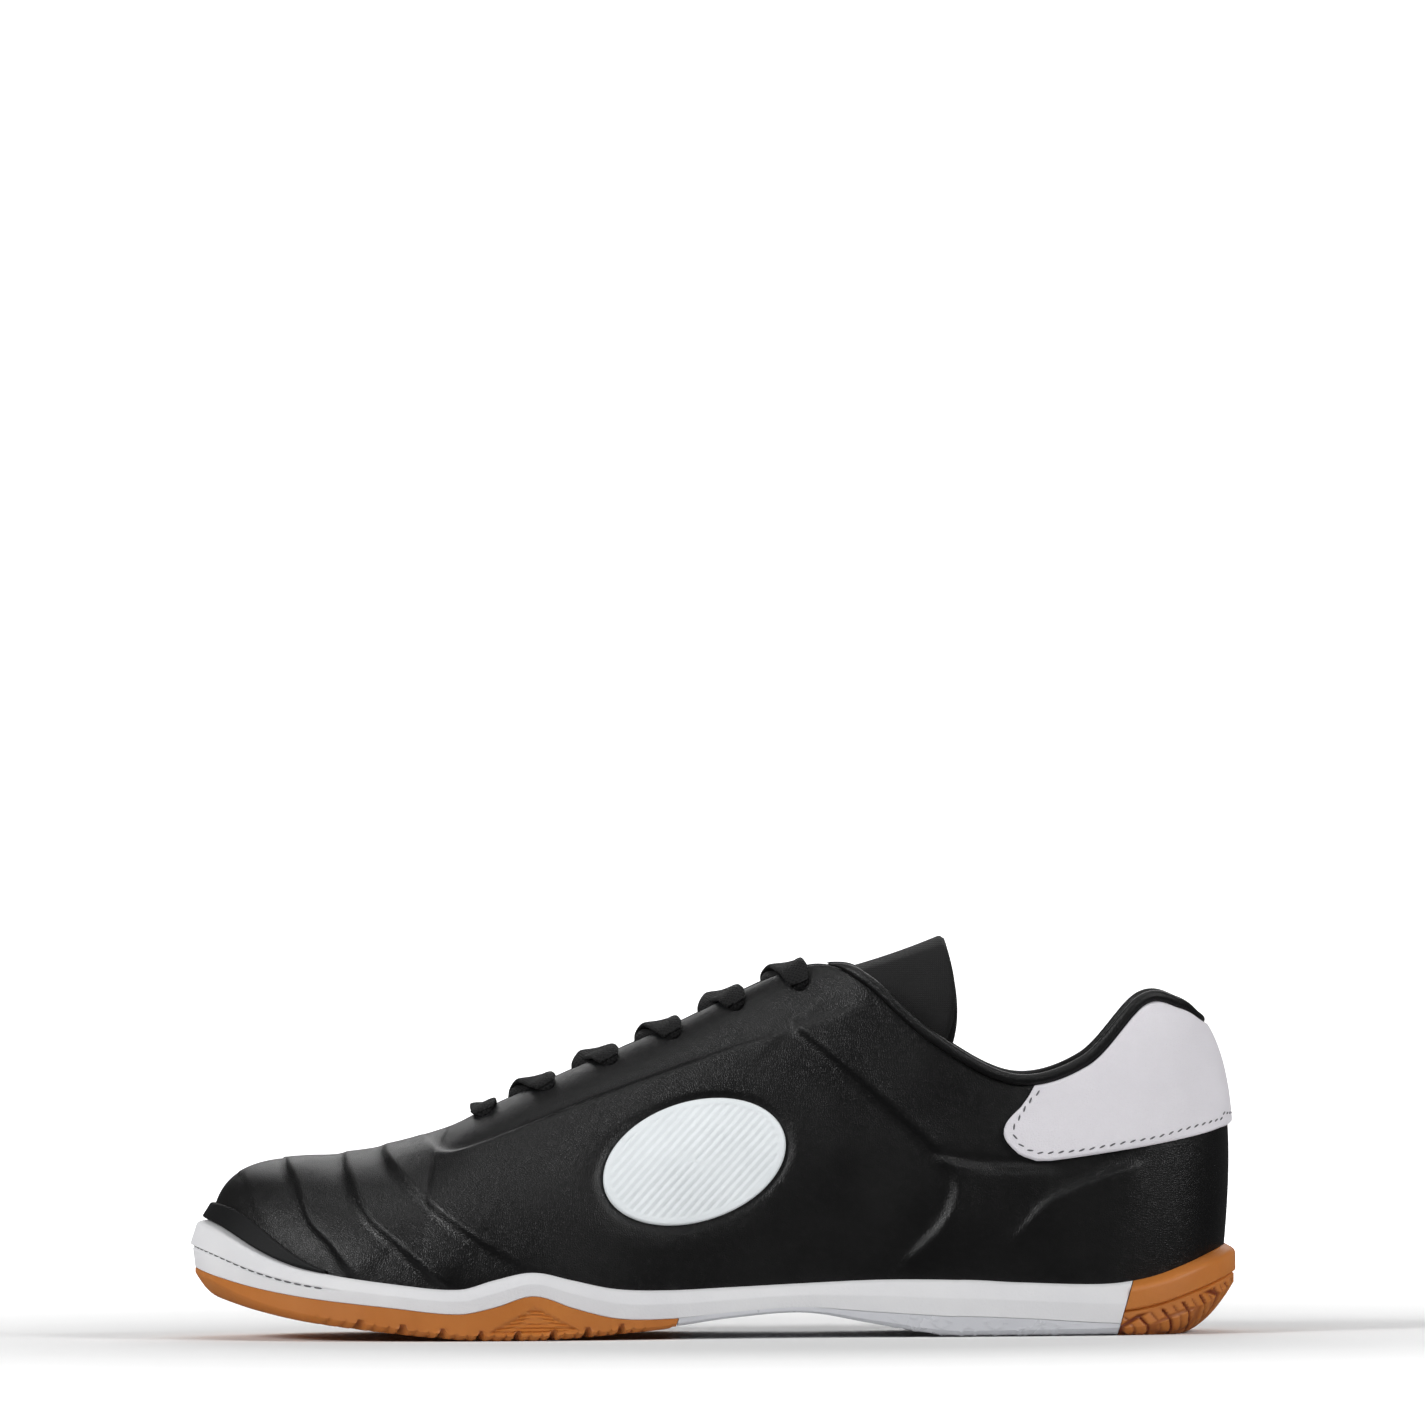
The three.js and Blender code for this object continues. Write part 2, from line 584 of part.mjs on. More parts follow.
// Middle line under the foot: the place that the profile at p starts from and comes back to.
const innerEnds = [0.09, 0.91]; // shares of length where the profiles of heel and toe fan out
const innerTurn = 0.05; // how far it turns towards the inner side at the front, share of ballWidth
function spine(p, z) {
  const [back, front] = innerEnds.map((share) => share * length);
  const s = clamp(loopAt(loops.foot, p), back, front);
  return place(s, -innerTurn * ballWidth * ease(s, back, front), z(s));
}

// Lift of the rounded lower edge at a depth inside the sole's outline: a parabola, 0 once past the inset.
const roundSpread = 1.1; // how far in the rounding reaches for each millimetre of its height
const roundLeast = 1; // and further in, also where the edge is nearly square
const roundInset = (rounding) => roundSpread * rounding + roundLeast;
const roundLift = (p, depth) => {
  const rounding = roundHeight(alongOf(fromFeather(p, soleMargin, 0)));
  return rounding * Math.max(1 - depth / roundInset(rounding), 0) ** 2;
};

// Underside of the outsole along one profile, from the middle line to the rounded edge.
// trim draws the edge in, and deep lifts the whole face.
const roundShares = [1, 0.6, 0.27, 0];
function undersideOf(p, trim = 0, deep = 0) {
  const inset = roundInset(roundHeight(alongOf(fromFeather(p, soleMargin, 0))));
  const face = roundShares.map((share) => {
    const point = fromFeather(p, soleMargin - trim - inset * share, 0);
    return point.setZ(underside(alongOf(point)) + roundLift(p, inset * share) + deep);
  });
  return [spine(p, (s) => underside(s) + deep), ...face];
}

// Corner between the rubber's floor and its side, a distance outside the feather line. It follows the
// rounded edge. The foam's corner lies above it and further in.
function rubberCorner(p, out) {
  const point = fromFeather(p, out, 0);
  return point.setZ(floorTop(alongOf(point)) + roundLift(p, soleMargin - out) - clearance / 2);
}
function foamCorner(p, out) {
  const point = fromFeather(p, out - clearance, 0);
  return point.setZ(rubberCorner(p, out).z + clearance);
}

// Outsole: a rubber tray whose edge wraps up the side of the midsole to the seam
const cornerDraft = 0.6; // how far the inner face of its side leans
function trayProfile(p) {
  const edge = fromFeather(p, soleMargin, 0);
  const seam = seamHeight(alongOf(edge)) - clearance / 2;
  const inner = soleMargin - treadWall;
  return [
    ...undersideOf(p),
    edge.setZ(seam),
    fromFeather(p, inner, seam),
    rubberCorner(p, inner - cornerDraft),
    spine(p, (s) => floorTop(s) - clearance / 2),
  ];
}

// Heel of the outsole: its side goes on up to the upper, and a smooth band stands out below its top
const bandHeight = 8;
const bandStep = 0.5; // how far the band stands out
const bandGroove = 0.9; // depth of the groove under it
const bandBevel = 1.8; // height of the slope from the band up to the leather
function heelProfile(p) {
  const rim = rimAt(p);
  const groove = rim - bandHeight;
  const level = levelAt(p, rim);
  const seat = offset(p, level, clearance).setZ(rim);
  const inner = fromFeather(p, clearance, 0);
  return [
    ...undersideOf(p, bandStep),
    fromFeather(p, soleMargin - bandStep, groove - bandGroove / 2),
    fromFeather(p, soleMargin - bandStep - bandGroove, groove),
    fromFeather(p, soleMargin, groove + bandGroove / 2),
    fromFeather(p, soleMargin, rim - bandBevel),
    seat,
    offset(p, level / 2, clearance),
    inner.clone().setZ(bedHeight(alongOf(inner))),
    rubberCorner(p, clearance),
    spine(p, (at) => floorTop(at) - clearance / 2),
  ];
}

// Midsole: foam with a rim that the upper stands in, and a stitched groove round the toe
const grooveDepth = 0.8;
const grooveWidth = 1.1;
const grooveShare = 0.45; // height of the groove between the seam and the rim
const grooveFrom = 0.83; // share of length where it begins
const grooveRun = 0.02; // share of length over which it reaches its depth
const rimBevel = 0.6; // how much lower the outer edge of the rim lies
function midsoleProfile(p) {
  const edge = fromFeather(p, soleMargin, 0);
  const s = alongOf(edge);
  const [seam, rim] = [seamHeight(s) + clearance / 2, rimAt(p)];
  const level = levelAt(p, rim);
  const seat = offset(p, level, clearance).setZ(rim);
  const groove = mix(seam, rim, grooveShare);
  const depth = grooveDepth * ease(s, grooveFrom * length, (grooveFrom + grooveRun) * length);
  const inner = soleMargin - treadWall;
  const bed = fromFeather(p, clearance, 0);
  return [
    spine(p, (at) => floorTop(at) + clearance / 2),
    foamCorner(p, inner - cornerDraft),
    fromFeather(p, inner - clearance, seam),
    edge.clone().setZ(seam),
    fromFeather(p, soleMargin, groove - grooveWidth / 2),
    fromFeather(p, soleMargin - depth, groove),
    fromFeather(p, soleMargin, groove + grooveWidth / 2),
    seat.clone().addScaledVector(outward(p), rimWidth).setZ(rim - rimBevel),
    seat,
    offset(p, level / 2, clearance),
    bed.setZ(bedHeight(alongOf(bed))),
    spine(p, bedHeight),
  ];
}

// Foam core that the rubber heel surrounds
function coreProfile(p) {
  const side = fromFeather(p, 0, 0);
  return [
    spine(p, (at) => floorTop(at) + clearance / 2),
    foamCorner(p, clearance),
    side.setZ(bedHeight(alongOf(side))),
    spine(p, bedHeight),
  ];
}

const heelEnd = 0.116; // where the rubber heel meets the rest of the sole, share of length
const shankEnd = 0.541; // where the clear shank meets the rubber forefoot
const jointLean = 0.3; // slant of both joints
const sole = [-length, heelEnd * length, shankEnd * length, 2 * length];

function midsoleSolid() {
  const body = roundBody(midsoleProfile).subtract(between(sole[0], sole[1] + clearance, jointLean));
  const core = roundBody(coreProfile).intersect(between(sole[0], sole[1] + 4 * clearance, jointLean));
  return body.add(core);
}

// Tread of the forefoot: chevron grooves across the sole, closer together under the toe
const treadGroove = 1.7;
const treadDepth = 1.6;
const chevronPitch = 0.035; // share of length
const chevronLean = 7;
const chevronReach = 0.62; // half of its width, share of ballWidth
const chevronFirst = 0.6; // share of length
function chevron(s) {
  const line = [-1, -0.5, 0, 0.5, 1].map((share, i) => ({
    x: length / 2 - s - (i % 2 ? -chevronLean : chevronLean),
    y: share * chevronReach * ballWidth,
  }));
  const front = line.map(({ x, y }) => new THREE.Vector2(x, y));
  const back = line.map(({ x, y }) => new THREE.Vector2(x + treadGroove, y)).reverse();
  const depth = treadDepth + toeSpring;
  const cut = new THREE.ExtrudeGeometry(new THREE.Shape([...front, ...back]), { depth, bevelEnabled: false });
  return fromGeometry(cut.translate(0, 0, underside(s) + treadDepth - depth));
}
function forefootSolid(tray) {
  let made = tray.intersect(between(sole[2] + clearance, sole[3], 0)).subtract(
    between(sole[0], sole[2] + clearance, jointLean),
  );
  const pitch = chevronPitch * length;
  for (let s = chevronFirst * length; s < innerEnds[1] * length; s += pitch) {
    made = made.subtract(chevron(s));
  }
  return made;
}

// Facet on each side of the ball: ribs cut into the rubber that wraps up the midsole
const ribGroove = 0.8;
const ribCentre = 0.671; // share of length
const ribLength = 22;
const ribCount = 3;
const ribRow = 11.25; // section at the middle of the facet
const ribFirst = 0.8; // lowest rib above the rounded edge, share of the ribs' spacing
function ballRib(number, side) {
  const s = ribCentre * length;
  const out = fromFeather(onSide(ribRow, side), soleMargin, 0);
  const spacing = (seamHeight(s) - roundHeight(s)) / (ribCount + 1);
  const long = ribLength * (1 - number / (ribCount + 1));
  const box = new THREE.BoxGeometry(long, 2 * ribGroove, ribGroove);
  return fromGeometry(box.translate(length / 2 - s, out.y, roundHeight(s) + spacing * (number + ribFirst)));
}

// Tread of the heel: two families of slanted grooves that leave diamond lugs, up its rounded back too
const lugPitch = 13;
const lugGroove = 1.6;
const lugDepth = 1.2;
const lugSlant = 0.8; // radians from straight across
const lugLines = [-1, 0, 1, 2, 3];
const lugTop = 12;
function lugLine(number, slant) {
  const box = new THREE.BoxGeometry(lugGroove, 3 * ballWidth, 2 * lugTop);
  box.rotateZ(slant).translate(length / 2 - number * lugPitch, 0, 0);
  return fromGeometry(box);
}
function heelSolid() {
  const whole = roundBody(heelProfile);
  const core = roundBody((p) => [
    ...undersideOf(p, bandStep + lugDepth, lugDepth),
    fromFeather(p, soleMargin - bandStep - lugDepth, 2 * lugTop),
    spine(p, () => 2 * lugTop),
  ]);
  const lines = lugLines.flatMap((number) => [lugLine(number, lugSlant), lugLine(number, -lugSlant)]);
  const grooves = lines.reduce((made, line) => made.add(line)).subtract(core);
  return whole.intersect(between(sole[0], sole[1], jointLean)).subtract(grooves);
}
function shankSolid(tray) {
  const block = between(sole[0], sole[2], jointLean);
  return tray.intersect(block).subtract(between(sole[0], sole[1] + clearance, jointLean));
}

// Insole: a thin bed inside the upper, clear of its lining
function insoleSolid() {
  const inset = wall + 2 * clearance;
  const edge = (p, lift) => {
    const foot = feather(p);
    const level = levelAt(p, foot.z + lift);
    return offset(p, level, -inset).setZ(foot.z + lift);
  };
  return roundBody((p) => [
    spine(p, (s) => bedHeight(s) + clearance),
    edge(p, 0),
    edge(p, insoleThickness),
    spine(p, (s) => bedHeight(s) + clearance + insoleThickness),
  ]);
}

// Tongue: it follows the underside of the throat's edges, and its free end leans back over the ankle
const tongueFront = vampRow + 0.4; // section of its hidden front end
const tongueLeave = 9; // section where it leaves the throat
const tonguePerRow = 2.3; // its cross sections to each section of the upper
const tongueSpan = 24; // from the edge of the throat down each side
const tongueCrown = 1.2; // how far it swells between the edges of the throat
const tongueFree = 0.17; // how far its free end reaches back, share of length
const tongueRise = 0.0243; // rise of its middle in a straight line, share of length
const tongueCurl = 0.0219; // further rise, growing towards the end, share of length
const tongueSideRise = 0.01; // rise of its side edges, share of length
const tongueLean = 0.3; // how far its free end leans back down its sides, share of the drop
const tongueCorner = 0.031; // how much shorter its side edges are, share of length
const tongueFlat = 0.22; // share of its half width that bridges the throat
const tongueSlack = 0.9; // further clearance under the leather
const tongueNarrow = 0.12; // how far its free end draws in sideways, share of its width
const tongueRound = 4; // power of the curve of its free edge
const tongueHollow = 1.5; // power of the curve across it
const tongueAcross = [-1, -0.8, -0.6, -0.4, -tongueFlat, 0, tongueFlat, 0.4, 0.6, 0.8, 1];
function tongueSection(row, deep) {
  const depth = wall + clearance + tongueSlack + deep;
  const under = (side, share) => {
    const p = onSide(row, side);
    return offset(p, shortOfTop(p, tongueSpan * share), -depth);
  };
  const [left, right] = [under(-1, 0), under(1, 0)];
  return tongueAcross.map((across) => {
    const share = Math.abs(across);
    if (share > tongueFlat) return under(Math.sign(across), (share - tongueFlat) / (1 - tongueFlat));
    const point = left.clone().lerp(right, (across / tongueFlat + 1) / 2);
    point.z += tongueCrown * openness(row) * (1 - (across / tongueFlat) ** 2);
    return point;
  });
}
function tongueFace(deep) {
  const rows = places(tongueLeave, tongueFront, tonguePerRow).reverse();
  const held = rows.map((row) => tongueSection(row, deep));
  const leave = held[held.length - 1];
  const centre = leave[(leave.length - 1) / 2];
  const free = shares(5).slice(1).map((share) =>
    leave.map((point, i) => {
      const side = Math.abs(tongueAcross[i]);
      const rise = tongueRise * share + tongueCurl * share * share;
      const lift = length * mix(rise, tongueSideRise * share, side ** tongueHollow);
      const made = point.clone().lerp(centre.clone().setZ(point.z), tongueNarrow * share * side);
      made.z += lift;
      const drop = centre.z + length * rise - made.z;
      const reach = length * (tongueFree - tongueCorner * side ** tongueRound) + tongueLean * drop;
      return made.setX(mix(point.x, centre.x, share) + reach * share);
    }),
  );
  return [...held, ...free];
}
function tongueSolid() {
  return shell(tongueFace(0), tongueFace(tongueThickness));
}

// Laces: flat bars that cross over the tongue from an eyelet to the far edge of the throat
const laceSeat = 0.45; // above the leather at its eyelet
const laceLift = 1.2; // above the near edge of the throat
const laceEndLift = 1.4; // above its far edge
const laceCrest = 0.4; // how much higher its middle lies
const laceFlank = 0.75; // upper face, share of its width
const laceLeave = 0.18; // where it crosses the near edge, share of the way to the next eyelet
const laceArrive = 0.6; // where it ends at the far edge
const laceSteps = 8;
function laceBar(points, normals) {
  const path = new THREE.CatmullRomCurve3(points);
  const lean = new THREE.CatmullRomCurve3(normals);
  const rings = shares(laceSteps).map((t) => {
    const centre = path.getPoint(t);
    const out = lean.getPoint(t).normalize();
    const side = path.getTangent(t).cross(out).normalize();
    const corner = (a, b) =>
      centre.clone().addScaledVector(side, (a * laceWidth) / 2).addScaledVector(out, b * laceThickness);
    return [corner(-1, 0), corner(1, 0), corner(laceFlank, 1), corner(-laceFlank, 1)];
  });
  return swept(rings);
}
function laceRoute(from, fromSide, to) {
  const start = eyeletPlace(from, fromSide);
  const edge = eyeletPlace(mix(from, to, laceLeave), fromSide, 0);
  const end = eyeletPlace(mix(from, to, laceArrive), -fromSide, 0);
  const crest = offset(edge.p, 1, laceLift).lerp(offset(end.p, 1, laceEndLift), 0.5);
  crest.z += laceCrest;
  const half = (start.v + 1) / 2;
  const points = [
    offset(start.p, start.v, laceSeat),
    offset(start.p, half, (laceSeat + laceLift) / 2),
    offset(edge.p, 1, laceLift),
    crest,
    offset(end.p, 1, laceEndLift),
  ];
  const normals = [
    normalAt(start.p, start.v),
    normalAt(start.p, half),
    normalAt(edge.p, 1),
    up.clone().lerp(normalAt(edge.p, 1), 1 / 3),
    normalAt(end.p, 1),
  ];
  return { points, normals };
}
function laceCrossing(number) {
  const bars = [1, -1].map((side) => {
    const { points, normals } = laceRoute(number, side, number + 1);
    return laceBar(points, normals);
  });
  return bars[0].add(bars[1]);
}
function toeLaceBar() {
  const last = eyeletRows - 1;
  const { points, normals } = laceRoute(last, 1, last);
  const { p, v } = eyeletPlace(last, -1);
  points.push(offset(p, (v + 1) / 2, (laceSeat + laceLift) / 2), offset(p, v, laceSeat));
  normals.push(normalAt(p, (v + 1) / 2), normalAt(p, v));
  return laceBar(points, normals);
}

// Finishes
const finish = (color, roughness) => new THREE.MeshStandardMaterial({ color, roughness, metalness: 0 });
const leather = finish(0x17171a, 0.45);
const softBlack = finish(0x0d0d0f, 0.85);
const whiteLeather = finish(0xd9d7dd, 0.5);
const foam = finish(0xe9e9ec, 0.6);
const gum = finish(0xb8681f, 0.45);
const milky = finish(0xdfe3ea, 0.3);
const matteBlack = finish(0x1d1f21, 0.7);
const padWhite = finish(0xe6edf0, 0.4);

// Cuts leave slivers: edges shorter than this are closed up, and what comes loose by it is left out.
const sliver = 0.01;
function largestBody({ points, triangles }) {
  const leader = Array.from(points, (_, i) => i);
  const leaderOf = (i) => {
    while (leader[i] !== i) i = leader[i];
    return i;
  };
  for (const [a, b, c] of triangles) {
    leader[leaderOf(b)] = leaderOf(a);
    leader[leaderOf(c)] = leaderOf(a);
  }
  const bodies = new Map();
  for (const triangle of triangles) {
    const key = leaderOf(triangle[0]);
    bodies.set(key, [...(bodies.get(key) ?? []), triangle]);
  }
  return [...bodies.values()].reduce((best, body) => (body.length > best.length ? body : best));
}

// Assembly
const shoe = new THREE.Group();
function addPiece(name, made, material) {
  const mesh = made.getMesh();
  const raw = new THREE.BufferGeometry();
  raw.setAttribute("position", new THREE.BufferAttribute(mesh.vertProperties, 3));
  raw.setIndex(new THREE.BufferAttribute(mesh.triVerts, 1));
  const clean = welded(raw, sliver);
  raw.setAttribute("position", new THREE.BufferAttribute(clean.points, 3));
  raw.setIndex(largestBody(clean).flat());
  const geometry = raw.toNonIndexed();
  geometry.computeVertexNormals();
  const piece = new THREE.Mesh(geometry, material);
  piece.name = name;
  shoe.add(piece);
}

const tray = roundBody(trayProfile);
const ribs = [1, -1].flatMap((side) => Array.from({ length: ribCount }, (_, k) => ballRib(k, side)));
addPiece("outsole_forefoot", ribs.reduce((made, rib) => made.subtract(rib), forefootSolid(tray)), gum);
addPiece("outsole_shank", shankSolid(tray), milky);
addPiece("outsole_heel", heelSolid(), gum);
addPiece("midsole", midsoleSolid(), foam);
addPiece("upper", upperSolid(), leather);
addPiece("toe_guard", guardSolid(), matteBlack);
addPiece("heel_counter", counterSolid(), whiteLeather);
addPiece("collar_binding", bindingSolid(), leather);
addPiece("side_pad_outer", padSolid(1), padWhite);
addPiece("side_pad_inner", padSolid(-1), padWhite);
addPiece("tongue", tongueSolid(), softBlack);
addPiece("insole", insoleSolid(), softBlack);
for (let number = 0; number < eyeletRows - 1; number += 1) {
  addPiece(`lace_crossing_${number + 1}`, laceCrossing(number), softBlack);
}
addPiece("lace_toe_bar", toeLaceBar(), softBlack);

export default shoe;
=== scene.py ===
import math

import bmesh
import bpy
import numpy as np
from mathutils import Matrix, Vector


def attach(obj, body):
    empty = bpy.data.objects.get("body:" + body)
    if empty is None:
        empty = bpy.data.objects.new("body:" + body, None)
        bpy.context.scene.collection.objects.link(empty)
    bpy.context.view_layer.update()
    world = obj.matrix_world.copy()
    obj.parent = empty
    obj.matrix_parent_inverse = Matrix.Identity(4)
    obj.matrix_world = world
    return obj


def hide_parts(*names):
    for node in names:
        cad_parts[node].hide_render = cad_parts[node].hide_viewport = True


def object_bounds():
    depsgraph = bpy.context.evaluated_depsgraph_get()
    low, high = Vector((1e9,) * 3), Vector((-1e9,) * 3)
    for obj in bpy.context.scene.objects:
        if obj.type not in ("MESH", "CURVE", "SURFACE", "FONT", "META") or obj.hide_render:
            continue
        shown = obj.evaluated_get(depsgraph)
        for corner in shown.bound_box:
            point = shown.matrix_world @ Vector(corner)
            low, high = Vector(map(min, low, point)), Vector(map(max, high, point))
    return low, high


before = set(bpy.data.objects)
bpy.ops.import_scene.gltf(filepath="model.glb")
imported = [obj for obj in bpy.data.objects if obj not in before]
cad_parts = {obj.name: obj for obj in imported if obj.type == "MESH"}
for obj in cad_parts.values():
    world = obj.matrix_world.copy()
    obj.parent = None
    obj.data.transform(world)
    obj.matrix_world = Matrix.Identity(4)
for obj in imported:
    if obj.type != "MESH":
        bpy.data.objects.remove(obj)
cad_low, cad_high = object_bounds()
mm = 0.001

# Camera
# It stands level on the outer side of the shoe, far away with a long lens, and is rolled a little as in
# the picture, which is 1425 pixels square. The pixel values are where heel and floor lie in it.
picture = 1425
pixel = 0.2775 * mm
heel_column = 1234
floor_row = 1337.3
camera_distance = 6.0
camera_roll = 0.0066
near_side = -0.025
camera_data = bpy.data.cameras.new("camera")
camera_data.sensor_width = 36
camera_data.lens = camera_data.sensor_width * (camera_distance + near_side) / (picture * pixel)
camera = bpy.data.objects.new("camera", camera_data)
camera.location = (
    cad_high.x - (heel_column - picture / 2) * pixel,
    -camera_distance,
    (floor_row - picture / 2) * pixel,
)
camera.rotation_euler = (math.pi / 2, camera_roll, 0)
camera.rotation_mode = "XYZ"
bpy.context.scene.collection.objects.link(camera)
bpy.context.scene.camera = camera

# Upper
# One piece of black grained synthetic leather, pulled over the last and pressed in a mould, which leaves
# the ribs of the vamp and the lines of the quarter. Its lower edge is glued into the rim of the midsole.
length = 290 * mm
ball_width = 94 * mm
instep_height = 103 * mm
heel_height = 87 * mm
toe_height = 50 * mm
sole_height = 15 * mm
toe_spring = 13 * mm
arch_lift = 6.7 * mm
sole_margin = 4.5 * mm
wall = 2 * mm
clearance = 0.35 * mm
binding_radius = 1.5 * mm
toe_from = 0.9
toe_lip = 2.2 * mm
toe_flare = 1.4 * mm

section_columns = "foot outer inner top ridge gap height rise bulge reach swell drop".split()
section_rows = np.array([
    [0.0155, 0.0, 0.0, 0.0334, 0.0, 0.0, 1.0, 0.35, 0.033, 0.5, 0.091, 0.21],
    [0.025, 0.144, 0.144, 0.0379, 0.0, 0.1, 1.012, 0.35, 0.032, 0.5, 0.078, 0.22],
    [0.055, 0.255, 0.255, 0.0552, 0.0, 0.186, 1.055, 0.35, 0.028, 0.4, 0.058, 0.26],
    [0.106, 0.324, 0.319, 0.0897, 0.0, 0.255, 1.067, 0.35, 0.024, 0.3, 0.042, 0.3],
    [0.172, 0.356, 0.34, 0.145, 0.0, 0.298, 0.876, 0.38, 0.019, 0.3, 0.027, 0.32],
    [0.248, 0.372, 0.338, 0.214, 0.005, 0.324, 0.818, 0.4, 0.017, 0.3, 0.021, 0.33],
    [0.324, 0.376, 0.319, 0.29, 0.005, 0.314, 0.803, 0.4, 0.019, 0.35, 0.021, 0.3],
    [0.386, 0.383, 0.306, 0.352, 0.0, 0.26, 0.957, 0.42, 0.021, 0.45, 0.016, 0.2],
    [0.441, 0.399, 0.306, 0.391, -0.011, 0.191, 1.002, 0.42, 0.023, 0.5, 0.011, 0.14],
    [0.503, 0.426, 0.324, 0.448, -0.021, 0.14, 0.962, 0.42, 0.027, 0.5, 0.0, 0.1],
    [0.579, 0.471, 0.378, 0.541, -0.027, 0.112, 0.838, 0.42, 0.03, 0.48, 0.0, 0.08],
    [0.655, 0.511, 0.445, 0.641, -0.032, 0.09, 0.716, 0.44, 0.032, 0.48, 0.0, 0.06],
    [0.721, 0.517, 0.484, 0.714, -0.038, 0.075, 0.623, 0.48, 0.032, 0.5, 0.0, 0.03],
    [0.779, 0.498, 0.496, 0.755, -0.045, 0.053, 1.17, 0.5, 0.03, 0.52, 0.0, 0.0],
    [0.838, 0.45, 0.477, 0.814, -0.051, 0.0, 1.072, 0.54, 0.028, 0.55, 0.0, 0.0],
    [0.892, 0.362, 0.42, 0.86, -0.056, 0.0, 1.026, 0.57, 0.024, 0.6, 0.0, 0.0],
    [0.937, 0.245, 0.335, 0.89, -0.061, 0.0, 1.015, 0.6, 0.021, 0.68, 0.0, 0.0],
    [0.9685, 0.101, 0.223, 0.909, -0.064, 0.0, 1.005, 0.62, 0.019, 0.78, 0.0, 0.0],
    [0.9845, -0.064, 0.064, 0.917, -0.064, 0.0, 1.0, 0.62, 0.017, 0.84, 0.0, 0.0],
])
rows_of_height = {heel_height: 6, instep_height: 7, toe_height: 6}

sole_columns = "at spring arch seam rim bed round".split()
sole_rows = np.array([
    [0.0, 0.0, 0.0, 0.21, 1.65, 0.79, 0.93],
    [0.038, 0.0, 0.0, 0.21, 1.34, 0.76, 0.47],
    [0.079, 0.0, 0.0, 0.21, 1.08, 0.74, 0.2],
    [0.124, 0.0, 0.0, 0.23, 0.96, 0.73, 0.13],
    [0.207, 0.0, 0.0, 0.33, 1.0, 0.72, 0.1],
    [0.276, 0.0, 0.02, 0.37, 1.05, 0.71, 0.09],
    [0.345, 0.0, 0.49, 0.25, 0.85, 0.49, 0.07],
    [0.414, 0.0, 1.0, 0.11, 0.57, 0.25, 0.04],
    [0.483, 0.0, 0.82, 0.11, 0.59, 0.29, 0.04],
    [0.545, 0.0, 0.45, 0.18, 0.71, 0.41, 0.06],
    [0.593, 0.0, 0.24, 0.29, 0.84, 0.48, 0.08],
    [0.634, 0.0, 0.09, 0.55, 1.07, 0.54, 0.09],
    [0.672, 0.0, 0.0, 0.82, 1.26, 0.57, 0.09],
    [0.71, 0.0, 0.0, 0.62, 1.13, 0.57, 0.09],
    [0.745, 0.03, 0.0, 0.47, 0.93, 0.57, 0.09],
    [0.81, 0.17, 0.0, 0.47, 0.91, 0.55, 0.11],
    [0.89, 0.4, 0.0, 0.45, 0.94, 0.55, 0.15],
    [0.941, 0.64, 0.0, 0.42, 1.01, 0.54, 0.2],
    [0.983, 0.9, 0.0, 0.41, 1.16, 0.55, 0.31],
    [1.0, 1.0, 0.0, 0.44, 1.19, 0.57, 0.35],
])

throat_row = 12
vamp_row = 13
corner_row = 8
last_row = len(section_rows) - 1
turn = 2 * last_row
ridge_end = 1.5
step_along = 0.05
step_up = 0.02
halvings = 18
hair = 0.001
merge_distance = 2e-6

sections = dict(zip(section_columns, section_rows.T))
sole = dict(zip(sole_columns, sole_rows.T))
heights = sections["height"] * np.repeat(list(rows_of_height), list(rows_of_height.values()))


def ring(outer, inner):
    """The loop of one value right round the shoe: along the outer side to the toe, back along the inner."""
    return np.concatenate([outer, inner[-2:0:-1]])


loops = {name: ring(sections[name], sections[name]) for name in ("rise", "reach", "drop")}
loops |= {name: ring(sections[name], sections[name]) * length for name in ("foot", "top")}
loops |= {name: ring(sections[name], sections[name]) * ball_width for name in ("ridge", "bulge", "swell")}
loops["height"] = ring(heights, heights)
loops["foot_side"] = ring(sections["outer"], -sections["inner"]) * ball_width
loops["top_side"] = loops["ridge"] + ring(sections["gap"], -sections["gap"]) * ball_width


def curve(a, b, c, d, t):
    """Value between b and c at share t of a uniform Catmull-Rom curve through four values."""
    return b + 0.5 * t * (c - a + t * (2 * a - 5 * b + 4 * c - d + t * (3 * (b - c) + d - a)))


def loop_at(name, p):
    """Value of a loop at place p, counted in sections round the shoe, on a smooth curve."""
    values = loops[name]
    first = np.floor(p).astype(int)
    return curve(*(values[(first + k) % len(values)] for k in (-1, 0, 1, 2)), p - first)


def sole_at(name, s):
    """Value of a column of the sole's table at s: cubic pieces with the mean slopes at the rows."""
    at, rows, values = np.clip(s / length, 0, 1), sole["at"], sole[name]
    last = len(rows) - 1
    i = np.clip(np.searchsorted(rows, at) - 1, 0, last - 1)

    def slope(k):
        """Mean slope at row k: the change from the row before it to the row after it."""
        before, after = np.maximum(k - 1, 0), np.minimum(k + 1, last)
        return (values[after] - values[before]) / (rows[after] - rows[before])

    span = rows[i + 1] - rows[i]
    t = (at - rows[i]) / span
    return (
        values[i] * (2 * t**3 - 3 * t**2 + 1)
        + slope(i) * span * (t**3 - 2 * t**2 + t)
        + values[i + 1] * (3 * t**2 - 2 * t**3)
        + slope(i + 1) * span * (t**3 - t**2)
    )


def underside(s):
    """Height of the outsole's underside over the floor: toe spring and arch."""
    return toe_spring * np.maximum(sole_at("spring", s), 0) + arch_lift * np.maximum(sole_at("arch", s), 0)


def sole_line(name, s):
    """Height of the seam, rim or foot bed: a share of the sole's height above its underside."""
    return underside(s) + sole_height * sole_at(name, s)


middle = (loops["foot_side"].max() + loops["foot_side"].min()) / 2


